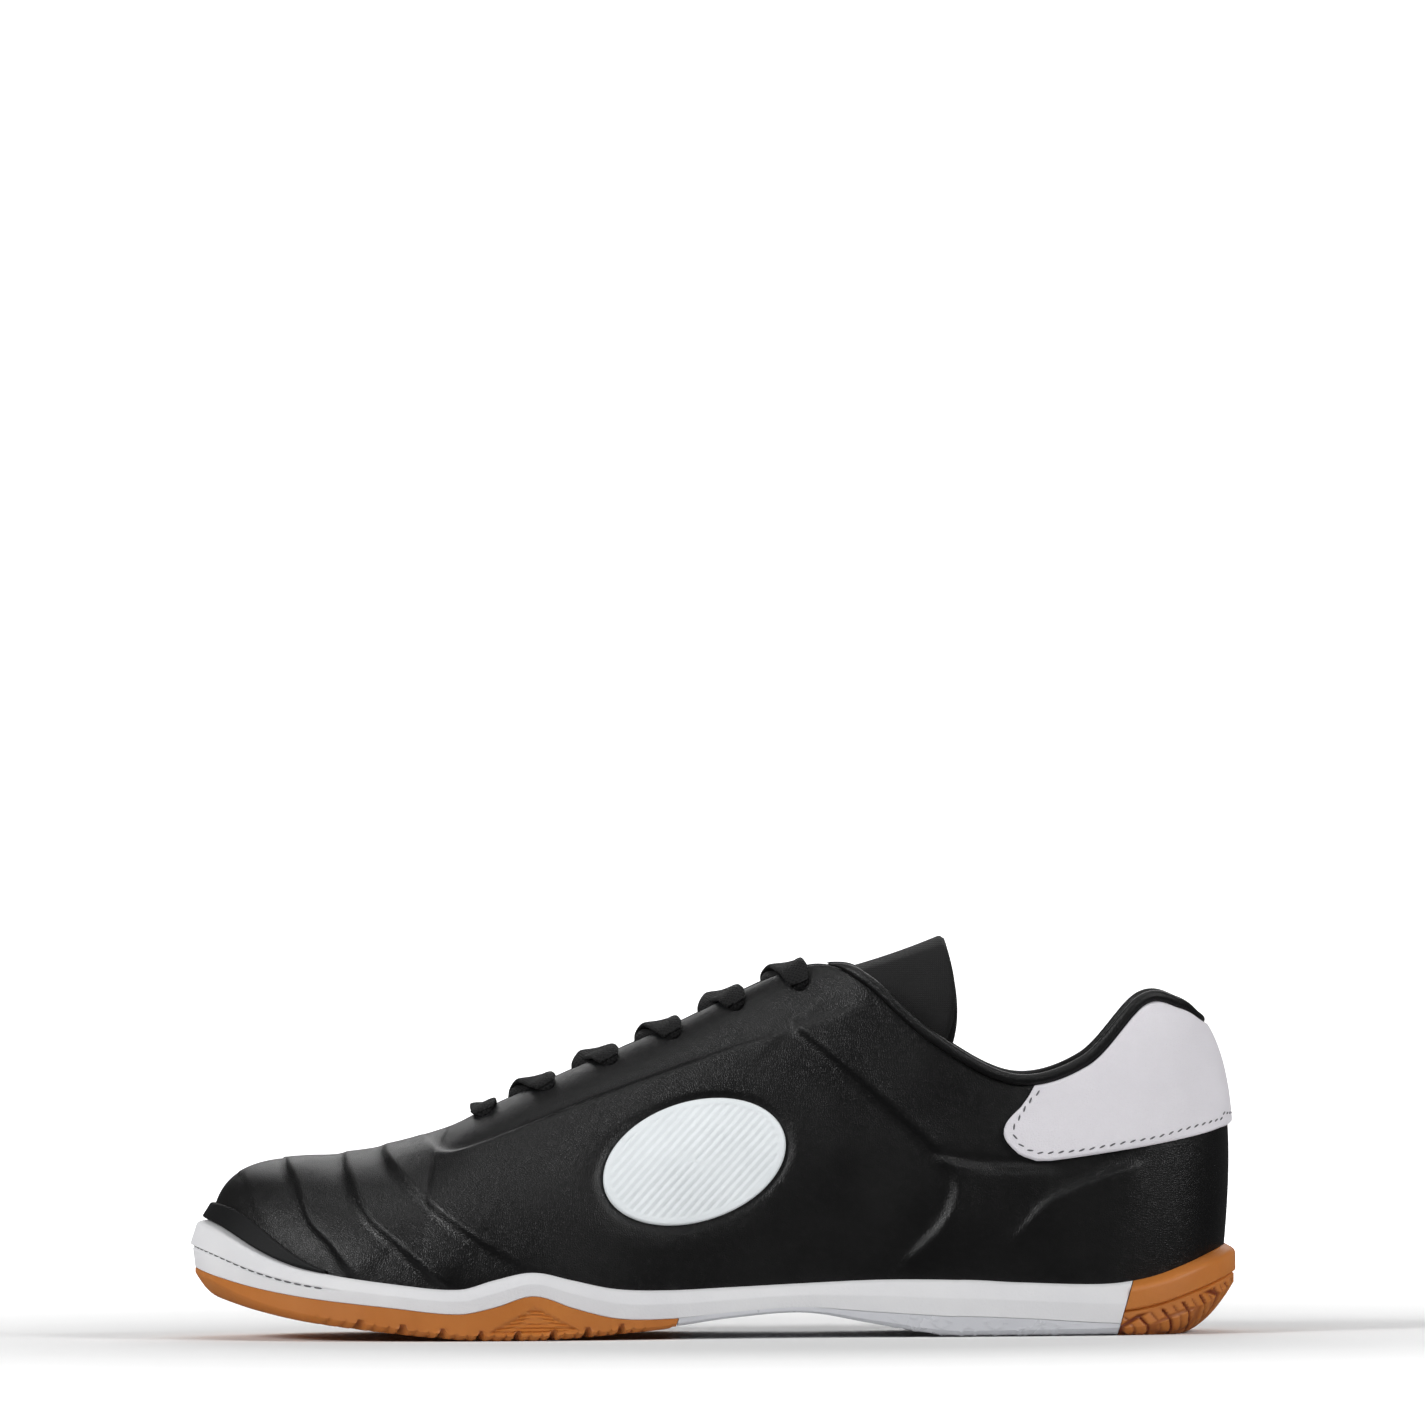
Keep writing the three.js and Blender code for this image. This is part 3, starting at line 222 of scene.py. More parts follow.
def place(s, w, z):
    """Points from the distance to the heel, the distance towards the outer side, and the height."""
    s, w, z = np.broadcast_arrays(s, w, z)
    return np.stack([length / 2 - s, middle - w, z], -1)


def along(points):
    """Distance of points from the back of the heel."""
    return length / 2 - points[..., 0]


def unit(vectors):
    """Vectors at length 1."""
    return vectors / np.maximum(np.linalg.norm(vectors, axis=-1, keepdims=True), 1e-12)


def row_of(p):
    """Section number, 0 at the heel to the last at the toe, of places on either side."""
    return np.minimum(p % turn, turn - p % turn)


def ease(x, low, high):
    """0 below low and 1 above high, with a smooth cubic step between."""
    t = np.clip((x - low) / (high - low), 0, 1)
    return t * t * (3 - 2 * t)


def mix(a, b, share):
    """Between a and b."""
    return a + (b - a) * share


def at_height(points, z):
    """The same points at height z."""
    return np.concatenate([points[..., :2], np.broadcast_to(z, points.shape[:-1])[..., None]], -1)


def feather(p):
    """Where the section at p meets the foot bed."""
    s = loop_at("foot", p)
    return place(s, loop_at("foot_side", p), sole_line("bed", s) + clearance)


def outward(p):
    """Level direction out of the shoe: square to the feather line."""
    run = feather(p + step_along) - feather(p - step_along)
    return unit(np.stack([-run[..., 1], run[..., 0], 0 * run[..., 0]], -1))


def from_feather(p, out, z):
    """Points a distance outside the feather line, at height z."""
    return at_height(feather(p) + outward(p) * np.asarray(out)[..., None], z)


def toe_share(s):
    """How near s is to the tip of the toe: 0 behind its round part, 1 at the tip."""
    return ease(s, toe_from * length, length)


def rim_at(p):
    """Height of the midsole's rim beside the section at p, which rises into a lip at the toe."""
    s = along(from_feather(p, sole_margin, 0))
    return sole_line("rim", s) + toe_lip * toe_share(s)


def openness(row):
    """How open the top line is: 1 along collar and throat, a round end, then 0 on the closed vamp."""
    return np.sqrt(1 - np.clip(row - throat_row, 0, 1) ** 2)


def top_line(p):
    """Middle of the collar's binding, edge of the throat, or ridge of the vamp."""
    ridge = loop_at("ridge", p)
    side = ridge + (loop_at("top_side", p) - ridge) * openness(row_of(p))
    return place(loop_at("top", p), side, loop_at("height", p))


def handles(p):
    """The four control points of the section at p, a cubic curve from the foot bed to the top line."""
    foot, top, out = feather(p), top_line(p), outward(p)
    tall = top[..., 2] - foot[..., 2]
    low = foot + out * loop_at("bulge", p)[..., None]
    low[..., 2] += loop_at("rise", p) * tall
    sideways = at_height(foot - top, 0) * loop_at("reach", p)[..., None]
    high = top + sideways + out * loop_at("swell", p)[..., None]
    q = np.clip(row_of(p), throat_row, last_row - ridge_end)
    rise, run = (loop_at(name, q + step_along) - loop_at(name, q - step_along) for name in ("height", "top"))
    high[..., 2] -= loop_at("drop", p) * tall + (1 - openness(row_of(p))) * rise / run * sideways[..., 0]
    return foot, low, high, top


def skin(p, v):
    """Outer face of the upper: p round the shoe, v from the foot bed (0) to the top line (1)."""
    foot, low, high, top = handles(p)
    v = np.asarray(v)[..., None]
    u = 1 - v
    return foot * u**3 + low * 3 * u**2 * v + high * 3 * u * v**2 + top * v**3


def side_normal(p, v):
    """Direction out of the outer face of one side, from small steps along and up it."""
    v = np.clip(v, step_up, 1 - 2 * step_up)
    run = skin(p + step_along, v) - skin(p - step_along, v)
    normal = unit(np.cross(run, skin(p, v + step_up) - skin(p, v - step_up)))
    faces_in = (normal * outward(p)).sum(-1) + normal[..., 2] < 0
    return np.where(faces_in[..., None], -normal, normal)


def normal_at(p, v):
    """Direction out of the outer face. On the closed ridge it is the mean of both sides."""
    on_ridge = (v > 1 - hair) & (row_of(p) > vamp_row - hair)
    both = side_normal(p, v) + np.where(on_ridge[..., None], side_normal(turn - p, v), 0)
    return unit(both)


def offset(p, v, out):
    """Points a distance out from the outer face."""
    return skin(p, v) + normal_at(p, v) * np.asarray(out)[..., None]


def turning(low, high, holds):
    """Where a test that holds at the low end stops holding, by halving, for whole arrays at once."""
    low, high = low + 0.0, high + 0.0
    for _ in range(halvings):
        half = (low + high) / 2
        here = holds(half)
        low, high = np.where(here, half, low), np.where(here, high, half)
    return high


def level_at(p, z):
    """The v at which the section at p reaches height z."""
    zero = np.zeros(np.broadcast(p, z).shape)
    return turning(zero, zero + 1, lambda v: skin(p, v)[..., 2] < z)


def short_of_top(p, back):
    """The v at which the section at p is a distance of back from the top line, square to that line."""
    zero = np.zeros(np.broadcast(p, back).shape)
    top = top_line(p)
    run = unit(top_line(p + step_along) - top_line(p - step_along))
    return turning(
        zero, zero + 1, lambda v: np.linalg.norm(np.cross(skin(p, v) - top, run), axis=-1) > back
    )


def skin_place(s, z):
    """Section number and v of points of the outer side, from distance to the heel and height."""
    zero = np.zeros(np.broadcast(s, z).shape)
    row = turning(zero + 1, zero + last_row - 0.5, lambda q: along(skin(q, level_at(q, z))) < s)
    return row, level_at(row, z)


def travel(points):
    """Distance travelled along a line of points, from its start to each of them."""
    return np.concatenate([[0], np.cumsum(np.linalg.norm(np.diff(points, axis=0), axis=1))])


def even_places(spacing, low_row=0, high_row=last_row):
    """Places along one side, a spacing apart as measured halfway up."""
    fine = np.linspace(low_row, high_row, 1200)
    travelled = travel(skin(fine, 0.45))
    count = max(round(travelled[-1] / spacing), 4)
    return np.interp(np.linspace(0, travelled[-1], count + 1), travelled, fine)


def round_places(spacing):
    """Places right round the shoe, alike on both sides."""
    half = np.concatenate([even_places(spacing, 0, vamp_row), even_places(spacing, vamp_row)[1:]])
    return np.concatenate([half, turn - half[-2:0:-1]])


def heel_round(spacing, row):
    """Places from a row of one side round the heel to that row of the other."""
    half = even_places(spacing, 0, row)
    return np.concatenate([-half[:0:-1], half])


def grid_faces(columns, rows, around=False, closed=False):
    """Faces of a grid of points stored column by column. around joins the last column to the first,
    closed joins the last row to the first."""
    i, j = np.meshgrid(
        np.arange(columns if around else columns - 1), np.arange(rows if closed else rows - 1), indexing="ij"
    )
    k, m = (i + 1) % columns, (j + 1) % rows
    return np.stack([i * rows + j, k * rows + j, k * rows + m, i * rows + m], -1).reshape(-1, 4)


def add_piece(name, points, faces, finish, slot, nodes=(), sharp=40, uv=None, painted_shade=None):
    """New piece from points and faces: doubles merged, faces pointing out, smooth but for sharp edges.
    The last argument is a share of painted shade in grooves for each point, which the finish reads as the
    attribute of that name."""
    mesh = bpy.data.meshes.new(name)
    mesh.from_pydata(points.reshape(-1, 3).tolist(), [], list(map(list, faces)))
    if painted_shade is not None:
        mesh.attributes.new("painted_shade", "FLOAT", "POINT").data.foreach_set("value", painted_shade.ravel())
    if uv is not None:
        corners = np.empty(len(mesh.loops), np.int32)
        mesh.loops.foreach_get("vertex_index", corners)
        mesh.uv_layers.new(name="UVMap").data.foreach_set("uv", uv.reshape(-1, 2)[corners].ravel())
    body = bmesh.new()
    body.from_mesh(mesh)
    bmesh.ops.remove_doubles(body, verts=body.verts, dist=merge_distance)
    bmesh.ops.dissolve_degenerate(body, dist=merge_distance, edges=body.edges)
    bmesh.ops.recalc_face_normals(body, faces=body.faces)
    body.to_mesh(mesh)
    body.free()
    mesh.polygons.foreach_set("use_smooth", np.ones(len(mesh.polygons), bool))
    mesh.set_sharp_from_angle(angle=math.radians(sharp))
    mesh.materials.append(finish)
    piece = bpy.data.objects.new(name, mesh)
    bpy.context.scene.collection.objects.link(piece)
    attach(piece, "root")
    if nodes:
        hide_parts(*nodes)
    return piece


def node(tree, kind, inputs=None, **settings):
    """Adds a shader node, and sets or links its inputs."""
    made = tree.nodes.new("ShaderNode" + kind)
    for key, value in settings.items():
        setattr(made, key, value)
    for key, value in (inputs or {}).items():
        if isinstance(value, bpy.types.NodeSocket):
            tree.links.new(value, made.inputs[key])
        else:
            made.inputs[key].default_value = value
    return made


def new_finish(name, roughness, **sockets):
    """A new material with its shader's own sockets set. Returns material, node tree and shader."""
    material = bpy.data.materials.new(name)
    material.use_nodes = True
    tree = material.node_tree
    shader = tree.nodes["Principled BSDF"]
    shader.inputs["Roughness"].default_value = roughness
    for key, value in sockets.items():
        shader.inputs[key.replace("_", " ")].default_value = value
    return material, tree, shader


def object_noise(tree, scale, detail=2.0, stretch=(1, 1, 1), roughness=0.5):
    """Noise on object coordinates, a scale of cells to the metre, stretched along the axes."""
    coordinates = node(tree, "TexCoord").outputs["Object"]
    stretched = node(tree, "Mapping", {"Vector": coordinates, "Scale": stretch}).outputs["Vector"]
    inputs = {"Vector": stretched, "Scale": scale, "Detail": detail, "Roughness": roughness}
    return node(tree, "TexNoise", inputs).outputs["Fac"]


def spread(tree, value, low, high, at=(0.3, 0.7)):
    """A value between two limits as it goes from one place of its range to another."""
    inputs = {"Value": value, "From Min": at[0], "From Max": at[1], "To Min": low, "To Max": high}
    return node(tree, "MapRange", inputs).outputs["Result"]


def tint(tree, shader, value, dark, light):
    """Base colour between two colours by a value from 0 to 1."""
    inputs = {0: value, "A": (*dark, 1), "B": (*light, 1)}
    mixed = node(tree, "Mix", inputs, data_type="RGBA").outputs["Result"]
    tree.links.new(mixed, shader.inputs["Base Color"])


def clouds(tree, shader, scale, detail, dark, light):
    """Base colour that changes between two colours in soft clouds."""
    tint(tree, shader, spread(tree, object_noise(tree, scale, detail), 0, 1), dark, light)


def bump(tree, shader, height, distance, strength=1.0):
    """Bump of a height on the shader, on top of any that it has."""
    inputs = {"Height": height, "Distance": distance, "Strength": strength}
    under = shader.inputs["Normal"]
    if under.is_linked:
        inputs["Normal"] = under.links[0].from_socket
    tree.links.new(node(tree, "Bump", inputs).outputs["Normal"], under)


def leather_finish(name, dark, light, roughness, grain, depth, **sockets):
    """Grained leather: pebbles between fine cracks, bent by noise, with pores and a changing gloss."""
    material, tree, shader = new_finish(name, roughness, **sockets)
    coordinates = node(tree, "TexCoord").outputs["Object"]
    bend = node(tree, "TexNoise", {"Vector": coordinates, "Scale": grain / 3, "Detail": 2.0})
    inputs = {0: bend.outputs["Color"], "Scale": 0.7 / grain}
    bent = node(tree, "VectorMath", inputs, operation="SCALE").outputs["Vector"]
    where = node(tree, "VectorMath", {0: coordinates, 1: bent}, operation="ADD").outputs["Vector"]
    inputs = {"Vector": where, "Scale": grain, "Randomness": 0.9}
    cells = node(tree, "TexVoronoi", inputs, feature="DISTANCE_TO_EDGE").outputs["Distance"]
    bump(tree, shader, spread(tree, cells, 0, 1, (0.0, 0.22)), depth)
    bump(tree, shader, object_noise(tree, 2.6 * grain, 3.0), depth * 0.7)
    patches = object_noise(tree, 38, 3.0)
    tint(tree, shader, spread(tree, patches, 0, 1), dark, light)
    tree.links.new(spread(tree, patches, roughness - 0.05, roughness + 0.06), shader.inputs["Roughness"])
    return material


black_leather = leather_finish(
    "black_leather", (0.0034, 0.0034, 0.0037), (0.005, 0.005, 0.0052), 0.36, 1700, 0.00004,
    Specular_IOR_Level=0.42,
)

leather_columns = round_places(0.96 * mm)
leather_rows = 104
leather_thickness = 1.2 * mm
edge_steps = 5
lining_rows = 10

# Lines pressed into both sides, as distances from the heel and heights in millimetres. trough and lip are
# depth and height of the line and of the ridge along one side of it, both fading over their widths. The
# lip lies on the other side of the line if its width is below 0.
pressed_lines = {
    "first_rib": [
        (238, 54), (237.4, 51), (236, 48.5), (232, 44), (227, 39), (216.5, 30.8), (203.7, 22.3), (195, 17),
    ],
    "second_rib": [
        (249, 52), (248.4, 49), (247.2, 44.5), (242.3, 34.2), (233.1, 25.7), (221.7, 15.5), (216, 12),
    ],
    "third_rib": [(265, 50), (264, 47), (262, 42.7), (258.4, 32.7), (252.2, 25.8), (245, 16.5), (240, 13)],
    "toe_rib": [(277.6, 45), (276.4, 41.7), (273.3, 34), (268, 28)],
    "eyestay": [
        (225.6, 57.5), (221.5, 53.6), (217.6, 52.6), (210.6, 54.7), (196, 60.4), (180.1, 66.8), (161.2, 73.6),
        (137.6, 82.1), (123.2, 86.3), (110, 91), (101, 94.5),
    ],
    "quarter": [
        (124.5, 86.5), (117, 80.5), (108.5, 73.4), (94.9, 61.3), (84.9, 51.3), (80.5, 45.3), (79.6, 40),
        (83.5, 31.6), (94.9, 20.2), (98, 15),
    ],
    "upper_heel_line": [(86.5, 52.5), (78.3, 49.4), (70, 48.4), (59.4, 48.2), (50, 48.7)],
    "lower_heel_line": [(76, 47.2), (66, 46.2), (56, 46.2), (46, 47.3)],
    "heel_sweep": [(67.5, 22.5), (60.5, 31), (53.3, 38.5), (40.2, 44.6), (31.1, 48), (24, 49.6)],
}
line_sizes = {
    "first_rib": {"trough": 0.4, "narrow": 1.0, "lip": 1.2, "wide": 9.5, "ends": (0.0, 0.2)},
    "second_rib": {"trough": 0.4, "narrow": 1.0, "lip": 1.3, "wide": 8.5, "ends": (0.0, 0.12)},
    "third_rib": {"trough": 0.35, "narrow": 1.0, "lip": 1.1, "wide": 8.0, "ends": (0.0, 0.15)},
    "toe_rib": {"trough": 0.15, "narrow": 2.0, "lip": 0.25, "wide": 6.0, "ends": (0.0, 0.4)},
    "eyestay": {"trough": 0.5, "narrow": 1.4, "lip": 1.0, "wide": -5.0, "ends": (0.03, 0.06)},
    "quarter": {"trough": 0.5, "narrow": 1.1, "lip": 1.2, "wide": 8.5, "ends": (0.02, 0.25)},
    "upper_heel_line": {"trough": 0.6, "narrow": 1.3, "lip": 0.7, "wide": -4.0, "ends": (0.15, 0.1)},
    "lower_heel_line": {"trough": 0.4, "narrow": 1.2, "lip": 0.1, "wide": 4.0, "ends": (0.3, 0.3)},
    "heel_sweep": {"trough": 0.4, "narrow": 1.2, "lip": 1.0, "wide": -7.0, "ends": (0.35, 0.15)},
}
line_steps = 7
valley_share = 0.75
ridge_share = 0.25
ridge_fade = 0.3


def smooth_line(points, steps):
    """More points on a smooth curve through the given ones."""
    points = np.asarray(points, float)
    ends = np.concatenate([[2 * points[0] - points[1]], points, [2 * points[-1] - points[-2]]])
    t = np.linspace(0, len(points) - 1, steps * (len(points) - 1) + 1)
    i = np.minimum(t.astype(int), len(points) - 2)
    return curve(*(ends[i + k] for k in range(4)), (t - i)[:, None])


def beside(points, normals, line):
    """Signed distance of points to a line, above 0 on its left, and the share of the line at each."""
    starts, spans = line[:-1], np.diff(line, axis=0)
    reach = np.linalg.norm(spans, axis=1)
    best = np.full(points.shape[:-1], np.inf)
    side, share = np.zeros_like(best), np.zeros_like(best)
    travelled = np.concatenate([[0], np.cumsum(reach)])
    for k, (start, span) in enumerate(zip(starts, spans)):
        away = points - start
        t = np.clip(away @ span / reach[k] ** 2, 0, 1)
        away = away - t[..., None] * span
        distance = np.linalg.norm(away, axis=-1)
        nearer = distance < best
        left = (np.cross(span, away) * normals).sum(-1)
        best = np.where(nearer, distance, best)
        side = np.where(nearer, np.sign(left), side)
        share = np.where(nearer, (travelled[k] + t * reach[k]) / travelled[-1], share)
    return best * side, share


pad_centre = (0.519 * length, 0.476 * instep_height)
pad_length = 52 * mm
pad_height = 33 * mm
pad_tilt = 0.3
pad_well = 0.55 * mm
pad_shoulder = 5 * mm


def pressed_relief(p, v):
    """Height of the pressed lines over the plain skin, from signed distances to each line, and the
    shallow well with a swollen shoulder round the side pad."""
    row = row_of(p)
    points, normals = skin(row, v), normal_at(row, v)
    total = np.zeros(points.shape[:-1])
    for name, line in pressed_lines.items():
        size = line_sizes[name]
        s, z = (smooth_line(line, line_steps) * mm).T
        q, level = skin_place(s, z)
        start = np.flatnonzero(level > 1 - hair).max(initial=0)
        distance, share = beside(points, normals, skin(q, level)[start:])
        fade = ease(share, -hair, size["ends"][0]) * (1 - ease(share, 1 - size["ends"][1], 1 + hair))
        narrow, wide = size["narrow"] * mm, abs(size["wide"]) * mm
        side = distance * np.sign(size["wide"])
        trough = np.exp(-((distance / narrow) ** 2))
        lip = np.where(side > 0, np.exp(-side / wide) * (1 - np.exp(-((side / narrow) ** 2))), 0)
        valley = np.where(side < 0, np.exp(side / wide) * (1 - np.exp(-((side / narrow) ** 2))), 0)
        total += fade * mm * (size["lip"] * (lip - valley_share * valley) - size["trough"] * trough)
    total *= mix(ridge_share, 1, np.maximum(ease(1 - v, 0, ridge_fade), 1 - ease(row, throat_row, vamp_row)))
    s, z = along(points) - pad_centre[0], points[..., 2] - pad_centre[1]
    a = s * np.cos(pad_tilt) - z * np.sin(pad_tilt)
    b = s * np.sin(pad_tilt) + z * np.cos(pad_tilt)
    far = (np.hypot(2 * a / pad_length, 2 * b / pad_height) - 1) * pad_height / 2
    well = -pad_well * (1 - ease(far, 0.2 * mm, 1.6 * mm))
    shoulder = pad_well * np.exp(-(((far - 4 * mm) / pad_shoulder) ** 2)) * ease(far, 0.2 * mm, 2 * mm)
    return total + np.where(row < throat_row + 2, well + shoulder, 0)


def edge_at(p):
    """Where the leather ends: below the binding along the collar, at the top line elsewhere."""
    bound = 1 - ease(row_of(p), corner_row - 0.5, corner_row + 0.5)
    return mix(1, short_of_top(p, binding_radius), bound)


def wall_faces(points, places, first, last):
    """Faces of closed profiles round the shoe. Over the vamp, where both sides meet on the ridge, the
    faces of the edge are left out, from row first to before row last."""
    columns, rows = points.shape[:2]
    faces = grid_faces(columns, rows, around=True, closed=True)
    column, row = faces[:, 0] // rows, faces[:, 0] % rows
    meets = np.minimum(row_of(places), row_of(np.roll(places, -1))) > vamp_row - hair
    return faces[~(meets[column] & (row >= first) & (row < last))]


def leather_wall():
    """Closed wall of leather: an outer face with the pressed relief, a round edge and an inner face,
    as one closed profile for each column. Over the vamp both sides meet on the ridge, with no edge."""
    p = leather_columns[:, None]
    edge = edge_at(leather_columns)[:, None]
    up = edge * np.linspace(0, 1, leather_rows)[None, :]
    half = len(leather_columns) // 2 + 1
    relief_half = pressed_relief(p[:half] + 0 * up[:half], up[:half])
    relief = np.concatenate([relief_half, relief_half[-2:0:-1]])
    outer = skin(p, up) + normal_at(p, up) * relief[..., None]
    top, normal = skin(p, edge), normal_at(p, edge)
    rise = unit(skin(p, edge) - skin(p, edge - step_up))
    angle = np.linspace(0, np.pi, edge_steps + 2)[None, 1:-1, None]
    radius = leather_thickness / 2
    lip = radius * openness(row_of(p))[..., None]
    rounded = top + normal * radius * (np.cos(angle) - 1) + rise * lip * np.sin(angle)
    down = edge * np.linspace(1, 0, lining_rows)[None, :]
    inner = skin(p, down) - normal_at(p, down) * leather_thickness
    rounded = rounded + normal * relief[:, -1:, None]
    points = np.concatenate([outer, rounded, inner], 1)
    return points, wall_faces(points, leather_columns, leather_rows - 1, leather_rows + edge_steps)


leather_points, leather_faces = leather_wall()
leather = add_piece(
    "leather_upper", leather_points, leather_faces, black_leather, "black_leather", ["upper"], sharp=50
)

# Lining
# Black knitted polyester bonded to the leather from inside. It reaches from the foot bed to the binding
# and to the edges of the throat, where it ends flush with the leather.
lining_gap = 0.03 * mm
lining_short = 0.004
lining_columns = round_places(2.4 * mm)


def knit_finish(name, dark, light, roughness, wales, depth, **sockets):
    """Knitted or woven cloth: two crossed waves on object coordinates, softened by noise."""
    material, tree, shader = new_finish(name, roughness, **sockets)
    coordinates = node(tree, "TexCoord").outputs["Object"]
    waves = []
    for direction in ("X", "Z"):
        inputs = {"Vector": coordinates, "Scale": wales / 2, "Distortion": 1.2, "Detail": 1.0}
        waves.append(node(tree, "TexWave", inputs, bands_direction=direction).outputs["Fac"])
    woven = node(tree, "Math", {0: waves[0], 1: waves[1]}, operation="MULTIPLY").outputs[0]
    bump(tree, shader, woven, depth)
    bump(tree, shader, object_noise(tree, wales * 2.5, 2.0), depth * 0.5)
    clouds(tree, shader, 90, 3.0, dark, light)
    return material


lining_knit = knit_finish(
    "lining_knit", (0.0055, 0.0055, 0.006), (0.012, 0.012, 0.013), 0.9, 900, 0.00012, Sheen_Weight=0.15
)


def lining_wall():
    """Closed wall of cloth between two offsets of the skin, with the leather's edge."""
    p = lining_columns[:, None]
    edge = edge_at(lining_columns)[:, None] - lining_short * openness(row_of(lining_columns))[:, None]
    up = edge * np.linspace(0, 1, 40)[None, :]
    down = up[:, ::-1]
    points = np.concatenate([offset(p, up, -(leather_thickness + lining_gap)), offset(p, down, -wall)], 1)
    return points, wall_faces(points, lining_columns, up.shape[1] - 1, up.shape[1])


lining = add_piece("lining", *lining_wall(), lining_knit, "black_textile")

# Eyelets
# Twelve plain holes punched through leather and lining, six on each side of the throat. The lace passes
# through them, and they have no rim.
eyelet_rows = 6
first_eyelet = 0.416
last_eyelet = 0.72
eyelet_inset = 7.5 * mm
eyelet_radius = 1.9 * mm


def eyelet_place(number, side, inset=eyelet_inset):
    """Place and level of an eyelet, or of a point beside it at another inset from the throat's edge."""
    number = np.asarray(number, float)
    wanted = length * mix(first_eyelet, last_eyelet, number / (eyelet_rows - 1))

    def short(row):
        """Whether the hole of that row would lie nearer the heel than it should."""
        p = row if side > 0 else turn - row
        return along(skin(p, short_of_top(p, inset))) < wanted

    row = turning(np.full_like(number, corner_row - 1), np.full_like(number, vamp_row), short)
    p = row if side > 0 else turn - row
    return p, short_of_top(p, inset)


def punch(pieces):
    """Cuts the twelve holes through pieces with round bars square to the skin."""
    sides = 24
    angle = np.linspace(0, 2 * np.pi, sides, endpoint=False)[:, None]
    points, faces = [], []
    for side in (1, -1):
        p, v = eyelet_place(np.arange(eyelet_rows), side)
        for centre, normal in zip(skin(p, v), normal_at(p, v)):
            across = unit(np.cross(normal, [1.0, 0, 0]))
            around = eyelet_radius * (np.cos(angle) * across + np.sin(angle) * np.cross(normal, across))
            start = len(points) * sides
            points += [centre + around - 3 * wall * normal, centre + around + 2 * wall * normal]
            ring_of = np.arange(sides)
            quads = np.stack([ring_of, (ring_of + 1) % sides], 1)
            faces += [[a + start, b + start, b + start + sides, a + start + sides] for a, b in quads.tolist()]
            faces += [(ring_of[::-1] + start).tolist(), (ring_of + start + sides).tolist()]
    mesh = bpy.data.meshes.new("punch")
    mesh.from_pydata(np.concatenate(points).tolist(), [], faces)
    bars = bpy.data.objects.new("punch", mesh)
    bpy.context.scene.collection.objects.link(bars)
    for piece in pieces:
        cut = piece.modifiers.new("holes", "BOOLEAN")
        cut.operation, cut.solver, cut.object = "DIFFERENCE", "MANIFOLD", bars
        apply_modifiers(piece)
    bpy.data.objects.remove(bars)


def apply_modifiers(piece):
    """Replaces the mesh of a piece by what its modifiers make of it."""
    made = bpy.data.meshes.new_from_object(piece.evaluated_get(bpy.context.evaluated_depsgraph_get()))
    piece.modifiers.clear()
    piece.data = made


punch([leather, lining])

# Toe guard
# A matt black moulded overlay of polyurethane, glued round the toe. It fills out towards its lower edge
# at the tip, where it meets the lip of the midsole.
guard_row = 14.6
guard_height = 0.75 * toe_height
guard_curve = 0.8
guard_swell = 1.2
guard_full_row = 17
overlay_thickness = 1.0 * mm
edge_share = 0.25


def rounded_edges(grid, rounding):
    """Share of the full thickness over a grid: 1 inside, and down to 0 at the four edges as a circle."""

    def from_edge(points):
        """Distance along each line of points from the nearer one of its ends."""
        run = np.cumsum(np.linalg.norm(np.diff(points, axis=0, prepend=points[:1]), axis=-1), 0)
        return np.minimum(run, run[-1] - run)

    near = np.minimum(from_edge(grid), from_edge(grid.transpose(1, 0, 2)).T)
    return np.sqrt(1 - np.clip(1 - near / rounding, 0, 1) ** 2)


def close_sheet(outer, inner):
    """Faces of two like grids joined along their four edges into one closed body."""
    columns, rows = outer.shape[:2]
    points = np.concatenate([outer.reshape(-1, 3), inner.reshape(-1, 3)])
    face = grid_faces(columns, rows)
    count = columns * rows
    index = np.arange(count).reshape(columns, rows)
    border = np.concatenate([index[:-1, 0], index[-1, :-1], index[:0:-1, -1], index[0, :0:-1]])
    following = np.roll(border, -1)
    rim = np.stack([border, following, following + count, border + count], -1)
    return points, np.concatenate([face, face[:, ::-1] + count, rim])


guard_rubber, tree, shader = new_finish("guard_rubber", 0.6, Specular_IOR_Level=0.25)
clouds(tree, shader, 60, 3.0, (0.006, 0.0063, 0.0068), (0.0085, 0.0088, 0.0093))
bump(tree, shader, object_noise(tree, 1700, 3.0), 0.00005)


def guard_place(across, up):
    """Places of the toe guard, from its lower edge at the midsole's rim to its upper edge."""
    p = mix(guard_row, turn - guard_row, across)
    rim = rim_at(p)
    share = ease(row_of(p), guard_row, last_row) ** guard_curve
    low = level_at(p, rim + 0.1 * clearance)
    high = level_at(p, mix(rim + 3 * clearance, guard_height, share))
    return p + 0 * up, mix(low, high, up)


def guard_fullness(p, up):
    """How much thicker the guard is than its upper edge: it fills out towards the midsole at the toe."""
    return 1 + guard_swell * (1 - up) ** 1.5 * ease(row_of(p), guard_row, guard_full_row)


def overlay_piece(name, place_of, columns, rows, rounding, finish, slot, nodes, fullness=None):
    """An overlay over a grid of skin places as one closed piece, thinner along its rounded edges."""
    up = np.linspace(0, 1, rows)[None, :]
    p, v = place_of(np.linspace(0, 1, columns)[:, None], up)
    lift = clearance + overlay_thickness * mix(edge_share, 1, rounded_edges(skin(p, v), rounding))
    if fullness:
        lift = lift * fullness(p, up)
    normal = normal_at(p, v)
    outer, inner = skin(p, v) + normal * lift[..., None], skin(p, v) + normal * 0.2 * clearance
    return add_piece(name, *close_sheet(outer, inner), finish, slot, nodes, sharp=60)


overlay_piece(
    "toe_guard_rubber", guard_place, 260, 44, 0.8 * mm, guard_rubber, "guard_black", ["toe_guard"],
    guard_fullness,
)

